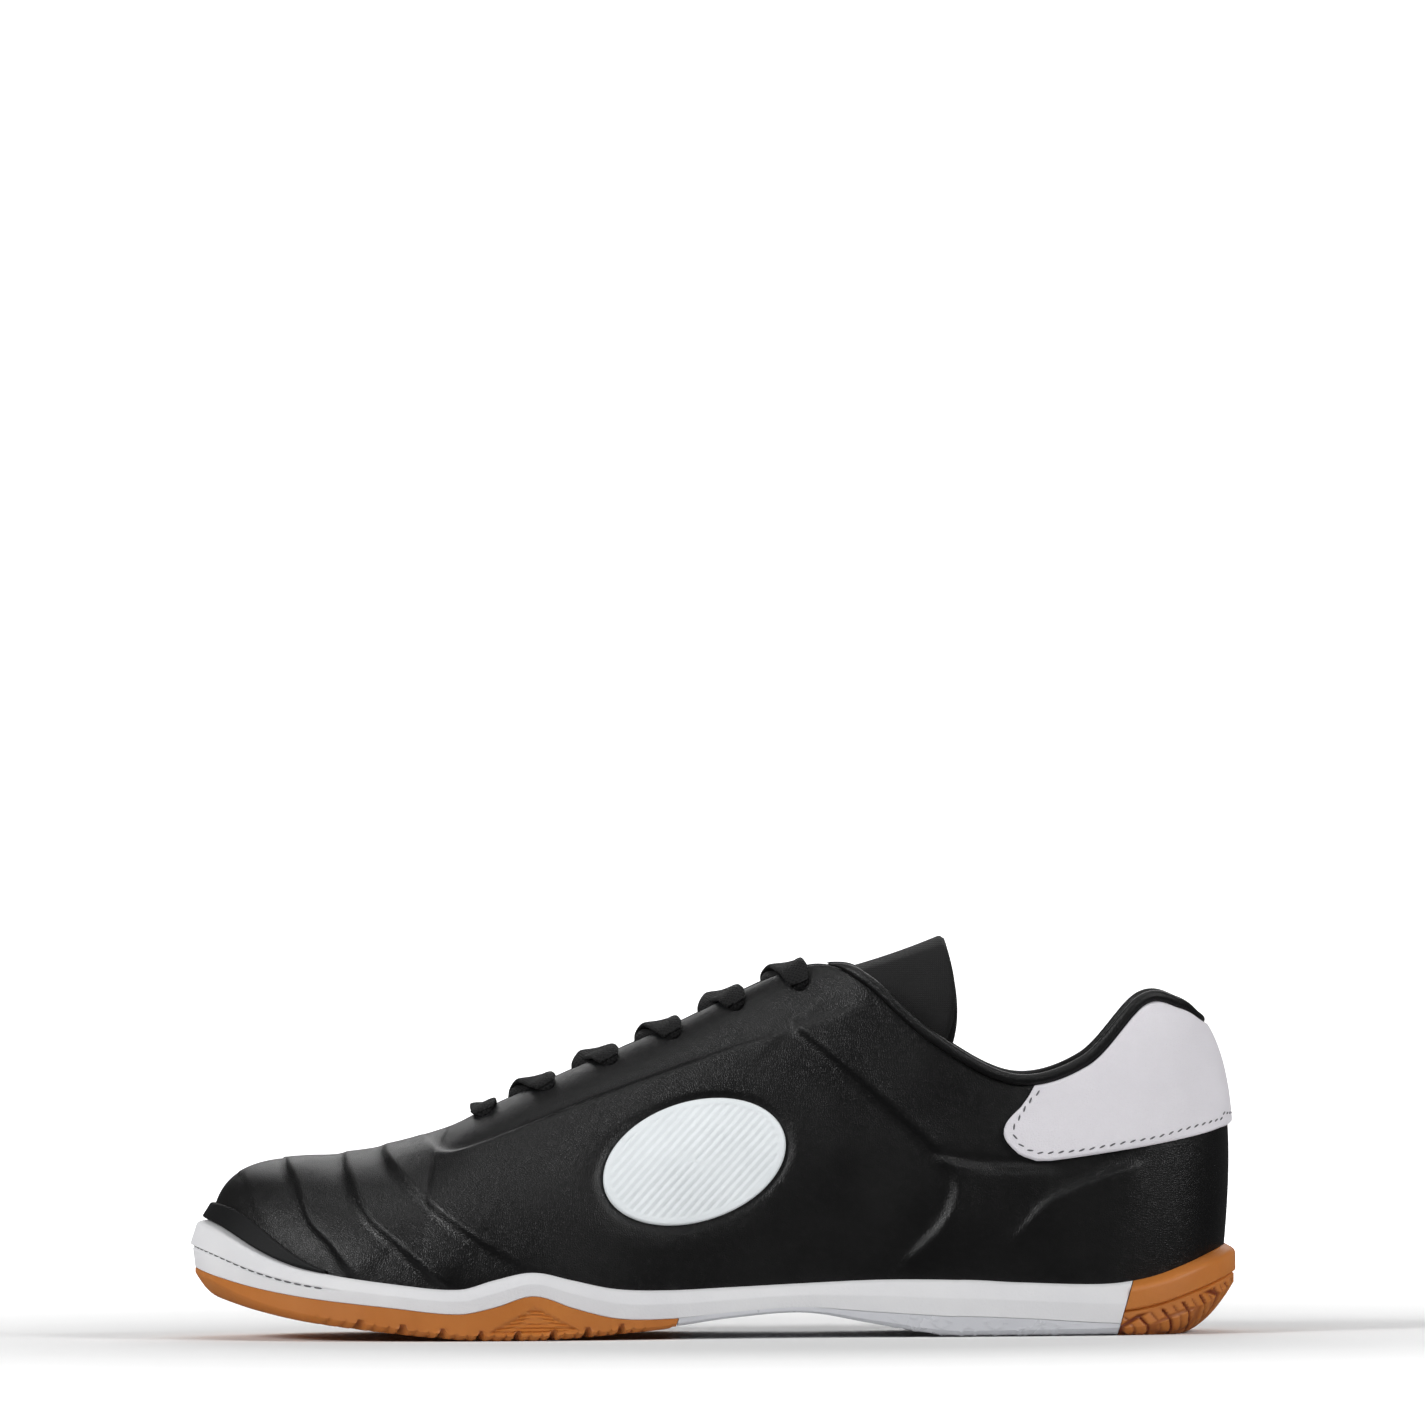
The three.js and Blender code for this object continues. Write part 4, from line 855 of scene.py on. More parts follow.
# Heel counter
# White smooth leather over a stiff core, wrapped round the heel under the binding, with rounded front
# corners, sewn once round with grey thread.
counter_edge = np.array([
    [0, 58.4], [1, 57], [2, 54.5], [3, 51.8], [4, 49.2], [4.3, 48.5], [4.49, 48.5], [4.66, 49.6],
    [4.74, 50.4], [4.84, 52], [4.92, 53.6], [4.96, 54.7], [4.98, 55.5], [4.99, 56.1], [5.0, 57.4],
])
front_edge = np.array([
    [4.66, 71.0], [4.7, 69.6], [4.76, 66.5], [4.84, 63.4], [4.92, 61.4], [4.96, 60.2], [4.98, 59.4],
    [4.99, 58.8], [5.0, 57.6],
])
counter_rows, counter_low = counter_edge[:, 0], counter_edge[:, 1] * mm
front_rows, front_high = front_edge[:, 0], front_edge[:, 1] * mm
counter_nose = counter_rows[-1]
stitch_line = [
    (53.2, 68.9), (57.4, 65.1), (60.9, 59.7), (62.2, 57), (61.4, 54.5), (59.6, 52.4), (56.6, 51),
    (53.2, 50.6), (43.2, 51.3), (31.6, 53.3), (23.2, 54.7), (14.9, 56.9), (6.5, 59.1), (2.6, 60.1),
]
back_stitch = 60.9 * mm
stitch_pitch = 2.9 * mm
stitch_length = 1.9 * mm
stitch_radius = 0.24 * mm
stitch_slant = 0.3

white_leather = leather_finish(
    "white_leather", (0.71, 0.69, 0.73), (0.77, 0.75, 0.79), 0.5, 1300, 0.00005, Specular_IOR_Level=0.35
)


def counter_place(across, up):
    """Places of the counter: its columns crowd towards the two round front ends."""
    turned = 2 * across - 1
    row = counter_nose * (1 - (1 - np.abs(turned)) ** 2)
    p = np.where(turned < 0, turn - row, row)
    low = level_at(p, np.interp(row, counter_rows, counter_low))
    collar = short_of_top(p, binding_radius + 0.6 * clearance)
    front = level_at(p, np.interp(row, front_rows, front_high))
    high = np.where(row > front_rows[0], np.minimum(front, collar), collar)
    return p + 0 * up, mix(low, high, up)


overlay_piece(
    "heel_counter_leather", counter_place, 420, 60, 0.9 * mm, white_leather, "white_leather",
    ["heel_counter"],
)

grey_thread, tree, shader = new_finish("grey_thread", 0.7, Sheen_Weight=0.1)
tint(tree, shader, object_noise(tree, 2500, 2.0), (0.07, 0.07, 0.075), (0.16, 0.16, 0.17))
bump(tree, shader, object_noise(tree, 4000, 1.0, (1, 3, 3)), 0.00006)


def stitches(path, out, first, last, pitch, slant, long, radius):
    """Closed stitches a pitch apart along a path, each turned off it by a slant: round bodies along their
    runs, whose radius follows half an ellipse. out is the direction off the face at each point."""
    travelled = travel(path)
    at = np.arange(first, travelled[-1] - last, pitch)
    centres, runs, normals = (
        np.stack([np.interp(at, travelled, values[:, k]) for k in range(3)], -1)
        for values in (path, np.gradient(path, axis=0), out)
    )
    runs = unit(unit(runs) + slant * np.cross(normals, unit(runs)))
    normals = unit(normals)
    share = np.linspace(-1, 1, 9)[None, :, None, None]
    angle = np.linspace(0, 2 * np.pi, 8, endpoint=False)[None, None, :, None]
    across = np.cross(normals, runs)
    round_share = radius * np.sqrt(np.maximum(1 - share**2, 0))
    turned = across[:, None, None] * np.cos(angle) + normals[:, None, None] * np.sin(angle)
    points = centres[:, None, None] + runs[:, None, None] * long / 2 * share + turned * round_share
    one = grid_faces(9, 8, closed=True)
    faces = one[None] + 72 * np.arange(len(centres))[:, None, None]
    return points, faces.reshape(-1, 4)


def counter_stitches():
    """Stitches a pitch apart along the counter's line on both sides, each turned a little off the line."""
    s, z = (smooth_line(stitch_line, 12) * mm).T
    row, v = skin_place(s, z)
    to_back = np.linspace(row[-1], 0, 13)[1:]
    row, v = np.append(row, to_back), np.append(v, level_at(to_back, back_stitch))
    bodies = [
        stitches(
            offset(p, v, clearance + overlay_thickness), normal_at(p, v), stitch_pitch, stitch_pitch / 2,
            stitch_pitch, stitch_slant, stitch_length, stitch_radius,
        )
        for p in (row, turn - row)
    ]
    points = np.concatenate([b[0].reshape(-1, 3) for b in bodies])
    faces = np.concatenate([bodies[0][1], bodies[1][1] + bodies[0][0].size // 3])
    return points, faces


add_piece("counter_stitches", *counter_stitches(), grey_thread, "white_leather", sharp=80)

# Collar binding
# A rolled edge of black leather over a cord of foam, from one corner of the throat round the heel to
# the other.
binding_sides = 20
binding_taper = 0.8
binding_fullness = 1.08
taper_rows = 0.8
end_rows = 0.06
roll_step = 0.1


def tube(centres, across, rise, radius, sides):
    """Round body along a path, its ends drawn together: circles in the plane of two directions."""
    angle = np.linspace(0, 2 * np.pi, sides, endpoint=False)[None, :, None]
    turned = across[:, None] * np.cos(angle) + rise[:, None] * np.sin(angle)
    points = centres[:, None] + radius[:, None, None] * turned
    return points, grid_faces(len(centres), sides, closed=True)


def collar_roll():
    """Tube along the top line between the corners of the throat. It thins towards its ends, which close
    like the end of an ellipse."""
    p = heel_round(1.2 * mm, corner_row)
    row, out = row_of(p), normal_at(p, 1)
    rise = unit(np.cross(unit(skin(p + roll_step, 1) - skin(p - roll_step, 1)), out))
    thin = 1 - binding_taper * ease(row, corner_row - taper_rows, corner_row)
    thin = thin * np.sqrt(ease(corner_row - row, 0, end_rows))
    return tube(skin(p, 1), out, rise, binding_radius * binding_fullness * thin, binding_sides)


add_piece("rolled_binding", *collar_roll(), black_leather, "black_leather", ["collar_binding"], sharp=60)

# Collar padding
# A roll of foam under black cloth inside the collar, thickest a finger's width below the edge, which
# keeps the heel in the shoe.
padding_row = 7.3
padding_depth = 30 * mm
padding_thickness = 4.2 * mm
padding_rows = 30


def collar_padding():
    """Closed crown inside the lining: its thickness is a leaning half wave down from the binding, and
    fades towards the throat."""
    q = heel_round(2 * mm, padding_row)[:, None]
    share = np.linspace(0, 1, padding_rows)[None, :]
    top = short_of_top(q, binding_radius * 0.6)
    low = short_of_top(q, padding_depth)
    v = mix(top, low, share)
    crown = np.sin(np.pi * share**0.62) ** 0.8
    fade = np.sqrt(np.clip((padding_row - row_of(q)) / 1.6, 0, 1))
    lift = wall + 0.05 * mm + padding_thickness * crown * fade
    return close_sheet(offset(q, v, -lift), offset(q, v, -(wall + 0.02 * mm)))


padding = add_piece("collar_padding", *collar_padding(), lining_knit, "black_textile", sharp=70)

# Side pads
# One plain oval badge of white rubber moulded onto each side of the upper, in a shallow well, with fine
# slanted ribs inside a smooth rim.
pad_thickness = 0.8 * mm
pad_rim = 1.8 * mm
rib_pitch = 1.95 * mm
rib_height = 0.34 * mm
rib_slant = 0.75
pad_spokes = 260
pad_rings = 46

pad_rubber, tree, shader = new_finish("pad_rubber", 0.4, Specular_IOR_Level=0.45)
clouds(tree, shader, 70, 2.0, (0.8, 0.84, 0.86), (0.85, 0.89, 0.91))
bump(tree, shader, object_noise(tree, 2400, 2.0), 0.00003)


def pad_oval():
    """Grid of an oval on the outer side, rings about its centre: share of the way to the rim, angle,
    distance to the heel, height, section number and level."""
    share = np.linspace(0, 1, pad_rings)[None, :] ** 0.8
    angle = np.linspace(0, 2 * np.pi, pad_spokes, endpoint=False)[:, None]
    a, b = pad_length / 2 * share * np.cos(angle), pad_height / 2 * share * np.sin(angle)
    s = pad_centre[0] + a * np.cos(pad_tilt) + b * np.sin(pad_tilt)
    z = pad_centre[1] - a * np.sin(pad_tilt) + b * np.cos(pad_tilt)
    return share, angle, s, z, *skin_place(s, z)


def side_pad(oval, side):
    """Closed badge on the oval: a round rim, and ribs as a triangle wave across the slant."""
    share, angle, s, z, row, v = oval
    p = row if side > 0 else turn - row
    from_rim = (1 - share) * np.hypot(pad_length / 2 * np.cos(angle), pad_height / 2 * np.sin(angle))
    edge = np.sqrt(1 - np.clip(1 - from_rim / (0.7 * mm), 0, 1) ** 2)
    slant = (s * np.cos(rib_slant) + z * np.sin(rib_slant)) / rib_pitch
    wave = np.abs(2 * (slant - np.floor(slant)) - 1)
    ribs = rib_height * (ease(wave, 0.15, 0.75) - 1) * ease(from_rim, pad_rim, pad_rim + 0.5 * mm)
    lift = clearance + pad_thickness * mix(0.15, 1, edge) + ribs - pad_well
    normal = normal_at(p, v)
    outer, inner = skin(p, v) + normal * lift[..., None], skin(p, v) - normal * (pad_well + 0.3 * mm)
    points = np.concatenate([outer, inner[:, ::-1]], 1)
    return points, grid_faces(pad_spokes, 2 * pad_rings, around=True)


oval = pad_oval()
for pad_name, side in (("outer", 1), ("inner", -1)):
    nodes = [f"side_pad_{pad_name}"]
    add_piece(f"{pad_name}_badge", *side_pad(oval, side), pad_rubber, "pad_white", nodes, sharp=55)

# Tongue
# Foam between two layers of black cloth, turned in at its edges and fixed under the front of the throat.
# It follows the underside of the throat's edges and leans back over the ankle.
tongue_front = vamp_row + 0.4
tongue_leave = 9
tongue_span = 24 * mm
tongue_crown = 1.2 * mm
tongue_free = 0.164
tongue_rise = 0.0243
tongue_curl = 0.0219
tongue_side_rise = 0.01
tongue_corner = 0.036
tongue_lean = 0.3
tongue_flat = 0.22
tongue_slack = 0.9 * mm
tongue_narrow = 0.12
tongue_thickness = 3.4 * mm
tongue_across = np.linspace(-1, 1, 81)
free_steps = 70

tongue_cloth = knit_finish(
    "tongue_cloth", (0.0025, 0.0025, 0.0028), (0.005, 0.005, 0.0053), 0.85, 1100, 0.0001, Sheen_Weight=0.03
)


def tongue_under(row, side, share, deep):
    """Points under one edge of the throat, a share of the tongue's span down the side."""
    p = row if side > 0 else turn - row
    p = p + 0 * share
    return offset(p, short_of_top(p, tongue_span * share), -deep)


def tongue_face(deep):
    """Grid of the tongue's face at a depth: held under the throat, then free. Across, it follows the two
    sides beyond its flat part, which bridges the throat with a crown. Its free part runs on level, rises
    more towards its end and draws in."""
    under_vamp = np.linspace(tongue_front, vamp_row, 8)[:-1]
    row = np.concatenate([under_vamp, np.linspace(vamp_row, tongue_leave, 60)])[:, None]
    depth = wall + clearance + tongue_slack + deep
    size = np.abs(tongue_across)[None, :]
    down = np.clip((size - tongue_flat) / (1 - tongue_flat), 0, 1)
    outer, inner = (tongue_under(row, side, down, depth) for side in (1, -1))
    left, right = (tongue_under(row, side, 0 * row, depth) for side in (-1, 1))
    bridge = np.clip(tongue_across / tongue_flat, -1, 1)[None, :, None]
    flat = left + (right - left) * (bridge + 1) / 2
    opening = openness(row)
    flat[..., 2] += tongue_crown * opening * (1 - bridge[..., 0] ** 2)
    beyond = np.where((tongue_across > 0)[None, :, None], outer, inner)
    held = np.where((size <= tongue_flat)[..., None], flat, beyond)
    leave = held[-1]
    centre = leave[len(leave) // 2]
    share = np.linspace(0, 1, free_steps + 1)[1:, None]
    to_middle = at_height(centre + 0 * leave, leave[:, 2])
    drawn = mix(leave[None], to_middle[None], (tongue_narrow * share * size)[..., None])
    lift = length * mix(tongue_rise * share + tongue_curl * share**2, tongue_side_rise * share, size**1.5)
    z = drawn[..., 2] + lift
    fall = centre[2] + length * (tongue_rise * share + tongue_curl * share**2) - z
    reach = length * (tongue_free - tongue_corner * size**4) + tongue_lean * fall
    free = np.stack([mix(leave[None, :, 0], centre[0], share) + reach * share, drawn[..., 1], z], -1)
    return np.concatenate([held, free])


def thin_at_ends(face, back, rounding):
    """Draws a face and its back together near their four edges, along a circle of the rounding."""
    share = rounded_edges(face, rounding)[..., None]
    middle_face = (face + back) / 2
    return mix(middle_face, face, share), mix(middle_face, back, share)


tongue_faces = thin_at_ends(tongue_face(0.0), tongue_face(tongue_thickness), tongue_thickness / 2)
tongue_body = close_sheet(*tongue_faces)
add_piece("padded_tongue", *tongue_body, tongue_cloth, "black_textile", ["tongue"], sharp=70)

# Insole
# A thin foam bed under black cloth, cut to fit inside the upper and laid loose on the bed of the midsole,
# with a slightly raised border.
insole_thickness = 4 * mm
insole_columns = round_places(3 * mm)
inner_ends = (0.09, 0.91)
inner_turn = 0.05


def spine(p, height_of):
    """Middle line under the foot: the place that the profile at p starts from and comes back to."""
    back, front = inner_ends[0] * length, inner_ends[1] * length
    s = np.clip(loop_at("foot", p), back, front)
    return place(s, -inner_turn * ball_width * ease(s, back, front), height_of(s))


def spread_points(a, b, count):
    """A count of points from a, with b left out."""
    share = np.linspace(0, 1, count, endpoint=False)[None, :, None]
    return a[:, None] + (b - a)[:, None] * share


def insole_body():
    """Closed round of profiles: bottom from the middle line out, round edge, top back to it, with a
    slightly raised border."""
    p = insole_columns
    foot = feather(p)
    inset = wall + 2 * clearance

    def edge(lift, more=0.0):
        """Points inside the wall, a lift over the foot bed and a little more inwards."""
        z = foot[:, 2] + lift
        return at_height(offset(p, level_at(p, z), -(inset + more)), z)

    bottom, top = edge(0.1 * mm), edge(insole_thickness + 0.8 * mm, 0.6 * mm)
    inner_top = edge(insole_thickness, 7 * mm)
    middle_top = spine(p, lambda s: sole_line("bed", s) + clearance + insole_thickness)
    return np.concatenate([
        spread_points(spine(p, lambda s: sole_line("bed", s) + clearance), bottom, 6),
        spread_points(bottom, edge(insole_thickness * 0.7), 2),
        spread_points(edge(insole_thickness * 0.7), top, 2),
        spread_points(top, inner_top, 5),
        spread_points(inner_top, middle_top, 10),
        middle_top[:, None],
    ], 1)


insole_points = insole_body()
insole_faces = grid_faces(len(insole_points), insole_points.shape[1], around=True)
add_piece("foot_bed", insole_points, insole_faces, lining_knit, "black_textile", ["insole"])

# Midsole
# White foam with a fine moulded texture. Its rim holds the upper. Round the toe it rises into a lip and is
# sewn to the upper in a groove.
sole_places = round_places(1.25 * mm)
tread_wall = 2.6 * mm
tread_floor = 3.2 * mm
floor_share = 0.8
rim_width = 2.6 * mm
rim_bevel = 0.6 * mm
groove_depth = 0.8 * mm
groove_width = 1.1 * mm
groove_share = 0.45
groove_from = 0.855
groove_full = 0.875
seam_gap = 0.04 * mm
corner_draft = 0.6 * mm
heel_end = 0.116
shank_end = 0.541
joint_lean = 0.3

white_foam, tree, shader = new_finish("white_foam", 0.68, Specular_IOR_Level=0.25, Subsurface_Weight=0.04)
shader.inputs["Subsurface Radius"].default_value = (0.002, 0.002, 0.002)
clouds(tree, shader, 45, 3.0, (0.74, 0.74, 0.76), (0.8, 0.8, 0.81))
bump(tree, shader, object_noise(tree, 1300, 3.0, roughness=0.6), 0.0001)


def soften(profile, radii, steps=4):
    """Rounds the corners of profiles: each is replaced by a parabola that leaves its two sides at the
    given distance from it, at most at 0.45 of their lengths."""
    parts = [profile[:, :1]]
    for j in range(1, profile.shape[1] - 1):
        before, corner, after = profile[:, j - 1], profile[:, j], profile[:, j + 1]
        if not radii[j]:
            parts.append(corner[:, None])
            continue
        reach = [np.linalg.norm(other - corner, axis=-1, keepdims=True) for other in (before, after)]
        start, end = (
            corner + (other - corner) * np.minimum(radii[j] / np.maximum(far, 1e-9), 0.45)
            for other, far in zip((before, after), reach)
        )
        t = np.linspace(0, 1, steps + 1)[None, :, None]
        bow = corner[:, None] * 2 * t * (1 - t)
        parts.append(start[:, None] * (1 - t) ** 2 + bow + end[:, None] * t**2)
    parts.append(profile[:, -1:])
    return np.concatenate(parts, 1)


def floor_top(s):
    """Top of the rubber under the foot."""
    return underside(s) + np.minimum(floor_share * (sole_line("seam", s) - underside(s)), tread_floor)


def round_inset(rounding):
    """How far in from the edge the rounding of the underside reaches."""
    return 1.1 * rounding + 1 * mm


def rounding_at(p):
    """Height of the rounded lower edge beside the section at p."""
    return sole_height * sole_at("round", along(from_feather(p, sole_margin, 0)))


def round_lift(p, depth):
    """Lift of the rounded lower edge at a depth inside the outline: a parabola."""
    rounding = rounding_at(p)
    return rounding * np.maximum(1 - depth / round_inset(rounding), 0) ** 2


def rubber_corner(p, out):
    """Corner between the rubber's floor and its side, a distance outside the feather line."""
    point = from_feather(p, out, 0)
    return at_height(point, floor_top(along(point)) + round_lift(p, sole_margin - out) - clearance / 2)


def foam_corner(p, out):
    """Corner of the foam above and inside the rubber's one."""
    return at_height(from_feather(p, out - clearance, 0), rubber_corner(p, out)[..., 2] + clearance)


def upper_seat(p):
    """Corners under the edge of the upper: on the skin at the rim, a step in and down, and far inside the
    wall."""
    rim = rim_at(p)
    level = level_at(p, rim)
    seat = at_height(offset(p, level, 0.1 * clearance), rim)
    return seat, at_height(seat - outward(p) * 0.6 * mm, rim - 2 * mm), offset(p, level / 2, -0.2 * mm)


def midsole_profiles(p):
    """Profiles of the foam: floor, side with its groove round the toe, rim, seat of the upper, bed."""
    edge = from_feather(p, sole_margin, 0)
    s = along(edge)
    seam, rim = sole_line("seam", s) + seam_gap / 2, rim_at(p)
    seat = upper_seat(p)
    groove = mix(seam, rim, groove_share)
    depth = groove_depth * ease(s, groove_from * length, groove_full * length)
    inner = sole_margin - tread_wall
    flare = toe_flare * toe_share(s)
    bed = from_feather(p, clearance, 0)
    corners = np.stack([
        spine(p, lambda at: floor_top(at) + clearance / 2),
        foam_corner(p, inner - corner_draft),
        from_feather(p, inner - clearance, seam),
        at_height(edge, seam),
        from_feather(p, sole_margin + 0.5 * flare, groove - groove_width / 2),
        from_feather(p, sole_margin - depth + 0.5 * flare, groove),
        from_feather(p, sole_margin + flare, groove + groove_width / 2),
        at_height(seat[0] + outward(p) * (rim_width + flare)[:, None], rim - rim_bevel),
        *seat,
        at_height(bed, sole_line("bed", along(bed))),
        spine(p, lambda at: sole_line("bed", at)),
    ], 1)
    radii = np.array([0, 0, 0, 0.4, 0.35, 0.25, 0.35, 1.1, 0.5, 0, 0, 0, 0]) * mm
    return soften(corners, radii)


def cut_piece(piece, share, keep_front, gap=0.0, lean=joint_lean):
    """Cuts a piece along a slanted plane across the sole and closes the cut."""
    body = bmesh.new()
    body.from_mesh(piece.data)
    face = unit(np.array([1.0, 0.0, -lean]))
    keep = 1 if keep_front else -1
    at = (length / 2 - share * length - keep * gap, 0, 0)
    cut = bmesh.ops.bisect_plane(
        body, geom=body.verts[:] + body.edges[:] + body.faces[:], plane_co=at, plane_no=face * keep,
        clear_outer=True, dist=1e-7,
    )
    edges = [e for e in cut["geom_cut"] if isinstance(e, bmesh.types.BMEdge)]
    bmesh.ops.edgenet_fill(body, edges=edges)
    bmesh.ops.triangulate(body, faces=[f for f in body.faces if len(f.verts) > 4])
    bmesh.ops.recalc_face_normals(body, faces=body.faces)
    body.to_mesh(piece.data)
    body.free()
    piece.data.polygons.foreach_set("use_smooth", np.ones(len(piece.data.polygons), bool))
    piece.data.set_sharp_from_angle(angle=math.radians(40))


def round_piece(name, profiles, finish, slot, nodes, sharp=40, painted_shade=None):
    """A closed round of profiles as a piece."""
    faces = grid_faces(len(profiles), profiles.shape[1], around=True)
    return add_piece(name, profiles, faces, finish, slot, nodes, sharp, painted_shade=painted_shade)


midsole = round_piece("foam_midsole", midsole_profiles(sole_places), white_foam, "white_foam", ["midsole"])
cut_piece(midsole, heel_end, keep_front=True, gap=0.15 * mm)

toe_stitch_from = 0.88 * length
toe_stitch_pitch = 3.4 * mm
toe_stitch_share = 0.8
toe_stitch_round = 0.3
stitch_sink = 0.8


def toe_stitches():
    """Stitches lying in the groove round the toe, a pitch apart."""
    p = np.linspace(vamp_row, turn - vamp_row, 1600)
    edge = from_feather(p, sole_margin, 0)
    s = along(edge)
    seam = sole_line("seam", s) + seam_gap / 2
    out = sole_margin - groove_depth * stitch_sink + 0.5 * toe_flare * toe_share(s)
    path = from_feather(p, out, mix(seam, rim_at(p), groove_share))[s > toe_stitch_from]
    ahead = outward(p)[s > toe_stitch_from]
    sizes = (toe_stitch_pitch * toe_stitch_share, groove_width * toe_stitch_round)
    return stitches(path, ahead, 0, 0, toe_stitch_pitch, 0, *sizes)


add_piece("toe_stitches", *toe_stitches(), grey_thread, "white_foam", sharp=80)

# Outsole, forefoot and shank
# One moulded rubber sole: gum-coloured under the forefoot, clear and milky under the waist. The tread
# is chevrons under the ball, a ribbed facet on each side of it, and raised lozenges behind the waist.
tread_groove = 1.7 * mm
tread_depth = 1.6 * mm
chevron_pitch = 0.035 * length
chevron_lean = 7 * mm
chevron_reach = 0.62 * ball_width
chevron_first = 0.6 * length
fine_groove = 0.7 * mm
fine_depth = 0.6 * mm
facet_centre = 0.671 * length
facet_length = 27 * mm
facet_top = 9.4 * mm
facet_low = 2.2 * mm
facet_pitch = 1.15 * mm
facet_depth = 0.7 * mm
lozenge_pitch = 7.5 * mm
lozenge_line = 0.55 * mm
lozenge_lift = 0.35 * mm
lozenge_from = 0.125 * length
lozenge_to = 0.345 * length


def rubber_finish(name, dark, light, roughness, groove_shade_colour=None, **sockets):
    """Moulded rubber: cloudy colour, with painted shade in the grooves mixed in where the point attribute
    says so, and a fine dull grain.
    """
    material, tree, shader = new_finish(name, roughness, **sockets)
    clouds(tree, shader, 55, 4.0, dark, light)
    # Painted shade in the grooves: the cloudy colour is mixed towards the given dark colour by the point
    # attribute.
    if groove_shade_colour:
        cloudy = shader.inputs["Base Color"].links[0].from_socket
        painted_shade = node(tree, "Attribute", attribute_name="painted_shade").outputs["Fac"]
        inputs = {0: painted_shade, "A": cloudy, "B": (*groove_shade_colour, 1)}
        mixed = node(tree, "Mix", inputs, data_type="RGBA").outputs["Result"]
        tree.links.new(mixed, shader.inputs["Base Color"])
    bump(tree, shader, object_noise(tree, 1400, 3.0), 0.00005)
    dull = spread(tree, object_noise(tree, 120, 3.0), roughness - 0.06, roughness + 0.08)
    tree.links.new(dull, shader.inputs["Roughness"])
    return material


# The last colour is the painted shade in the grooves of the gum rubber.
gum_rubber = rubber_finish(
    "gum_rubber", (0.53, 0.165, 0.026), (0.6, 0.2, 0.036), 0.45, (0.2, 0.035, 0.006), Subsurface_Weight=0.06
)
clear_rubber = rubber_finish(
    "clear_rubber", (0.7, 0.71, 0.75), (0.76, 0.77, 0.81), 0.3, Transmission_Weight=0.12, Coat_Weight=0.15
)


def groove_mask(distance, half_width, soft=0.3 * mm):
    """1 in a groove and 0 beside it, with soft walls."""
    return 1 - ease(np.abs(distance), half_width - soft, half_width + soft)


def nearest_line(value, pitch):
    """Distance to the nearest of lines a pitch apart."""
    return (value / pitch - np.round(value / pitch)) * pitch


def tread_relief(points):
    """Depth of the forefoot's tread: zigzag grooves across the sole and fine ones between them."""
    s, y = along(points), points[..., 1]
    zigzag = chevron_lean * (1 - 4 * np.abs(y / chevron_reach - np.round(y / chevron_reach)))
    value = s - chevron_first + zigzag + tread_groove / 2
    on = ease(s, shank_end * length + 6 * mm, shank_end * length + 9 * mm)
    on = on * (1 - ease(s, 0.875 * length, 0.885 * length))
    main = groove_mask(nearest_line(value, chevron_pitch), tread_groove / 2)
    fine = groove_mask(nearest_line(value, chevron_pitch / 3), fine_groove / 2, 0.25 * mm)
    return on * np.maximum(tread_depth * main, fine_depth * fine)


def facet_relief(points):
    """Depth of the ribbed facet on each side of the ball: fine level ribs in a low triangle."""
    s, z = along(points) - facet_centre, points[..., 2]
    inside = 1 - 2 * np.abs(s) / facet_length - (z - facet_low) / (facet_top - facet_low)
    in_triangle = ease(inside * facet_length, 0, 1.2 * mm) * ease(z, facet_low - 0.5 * mm, facet_low)
    ribs = groove_mask(nearest_line(z, facet_pitch), facet_pitch / 4, 0.2 * mm)
    return facet_depth * in_triangle * (0.35 + 0.65 * ribs)


def lozenge_relief(points):
    """Height of raised outlines of lozenges, one after another along the back of the waist."""
    s, y = along(points), points[..., 1]
    a, b = s / lozenge_pitch, (y + points[..., 2] * 1.2) / lozenge_pitch
    in_cell = np.abs(nearest_line(a, 1)) + np.abs(nearest_line(b + 0.5 * np.round(a), 1))
    outline = 1 - ease(np.abs(in_cell - 0.34) * lozenge_pitch, 0, lozenge_line)
    on = ease(s, lozenge_from, lozenge_from + lozenge_pitch)
    on = on * (1 - ease(s, lozenge_to - lozenge_pitch, lozenge_to))
    return lozenge_lift * outline * on


def lower_face(p, margin, top, flat_rows, round_rows, side_rows):
    """Plain profiles of rubber from the middle of the underside to its rounded edge, a margin outside the
    feather line, and up the side to the height top."""
    rounding = rounding_at(p)[:, None]
    inset = round_inset(rounding)
    inner_edge = from_feather(p, margin - inset[:, 0], 0)[:, None]
    flat = mix(spine(p, underside)[:, None], inner_edge, np.linspace(0, 1, flat_rows)[None, :, None])
    flat = at_height(flat, underside(along(flat)))
    bend = np.linspace(1, 0, round_rows)[None, 1:]
    turned = from_feather(p[:, None] + 0 * bend, margin - inset * bend, 0)
    turned = at_height(turned, underside(along(turned)) + rounding * (1 - bend) ** 2)
    up = np.linspace(0, 1, side_rows)[None, 1:]
    side = from_feather(p[:, None] + 0 * up, margin, mix(turned[:, -1:, 2], top[:, None], up))
    return np.concatenate([flat, turned, side], 1)


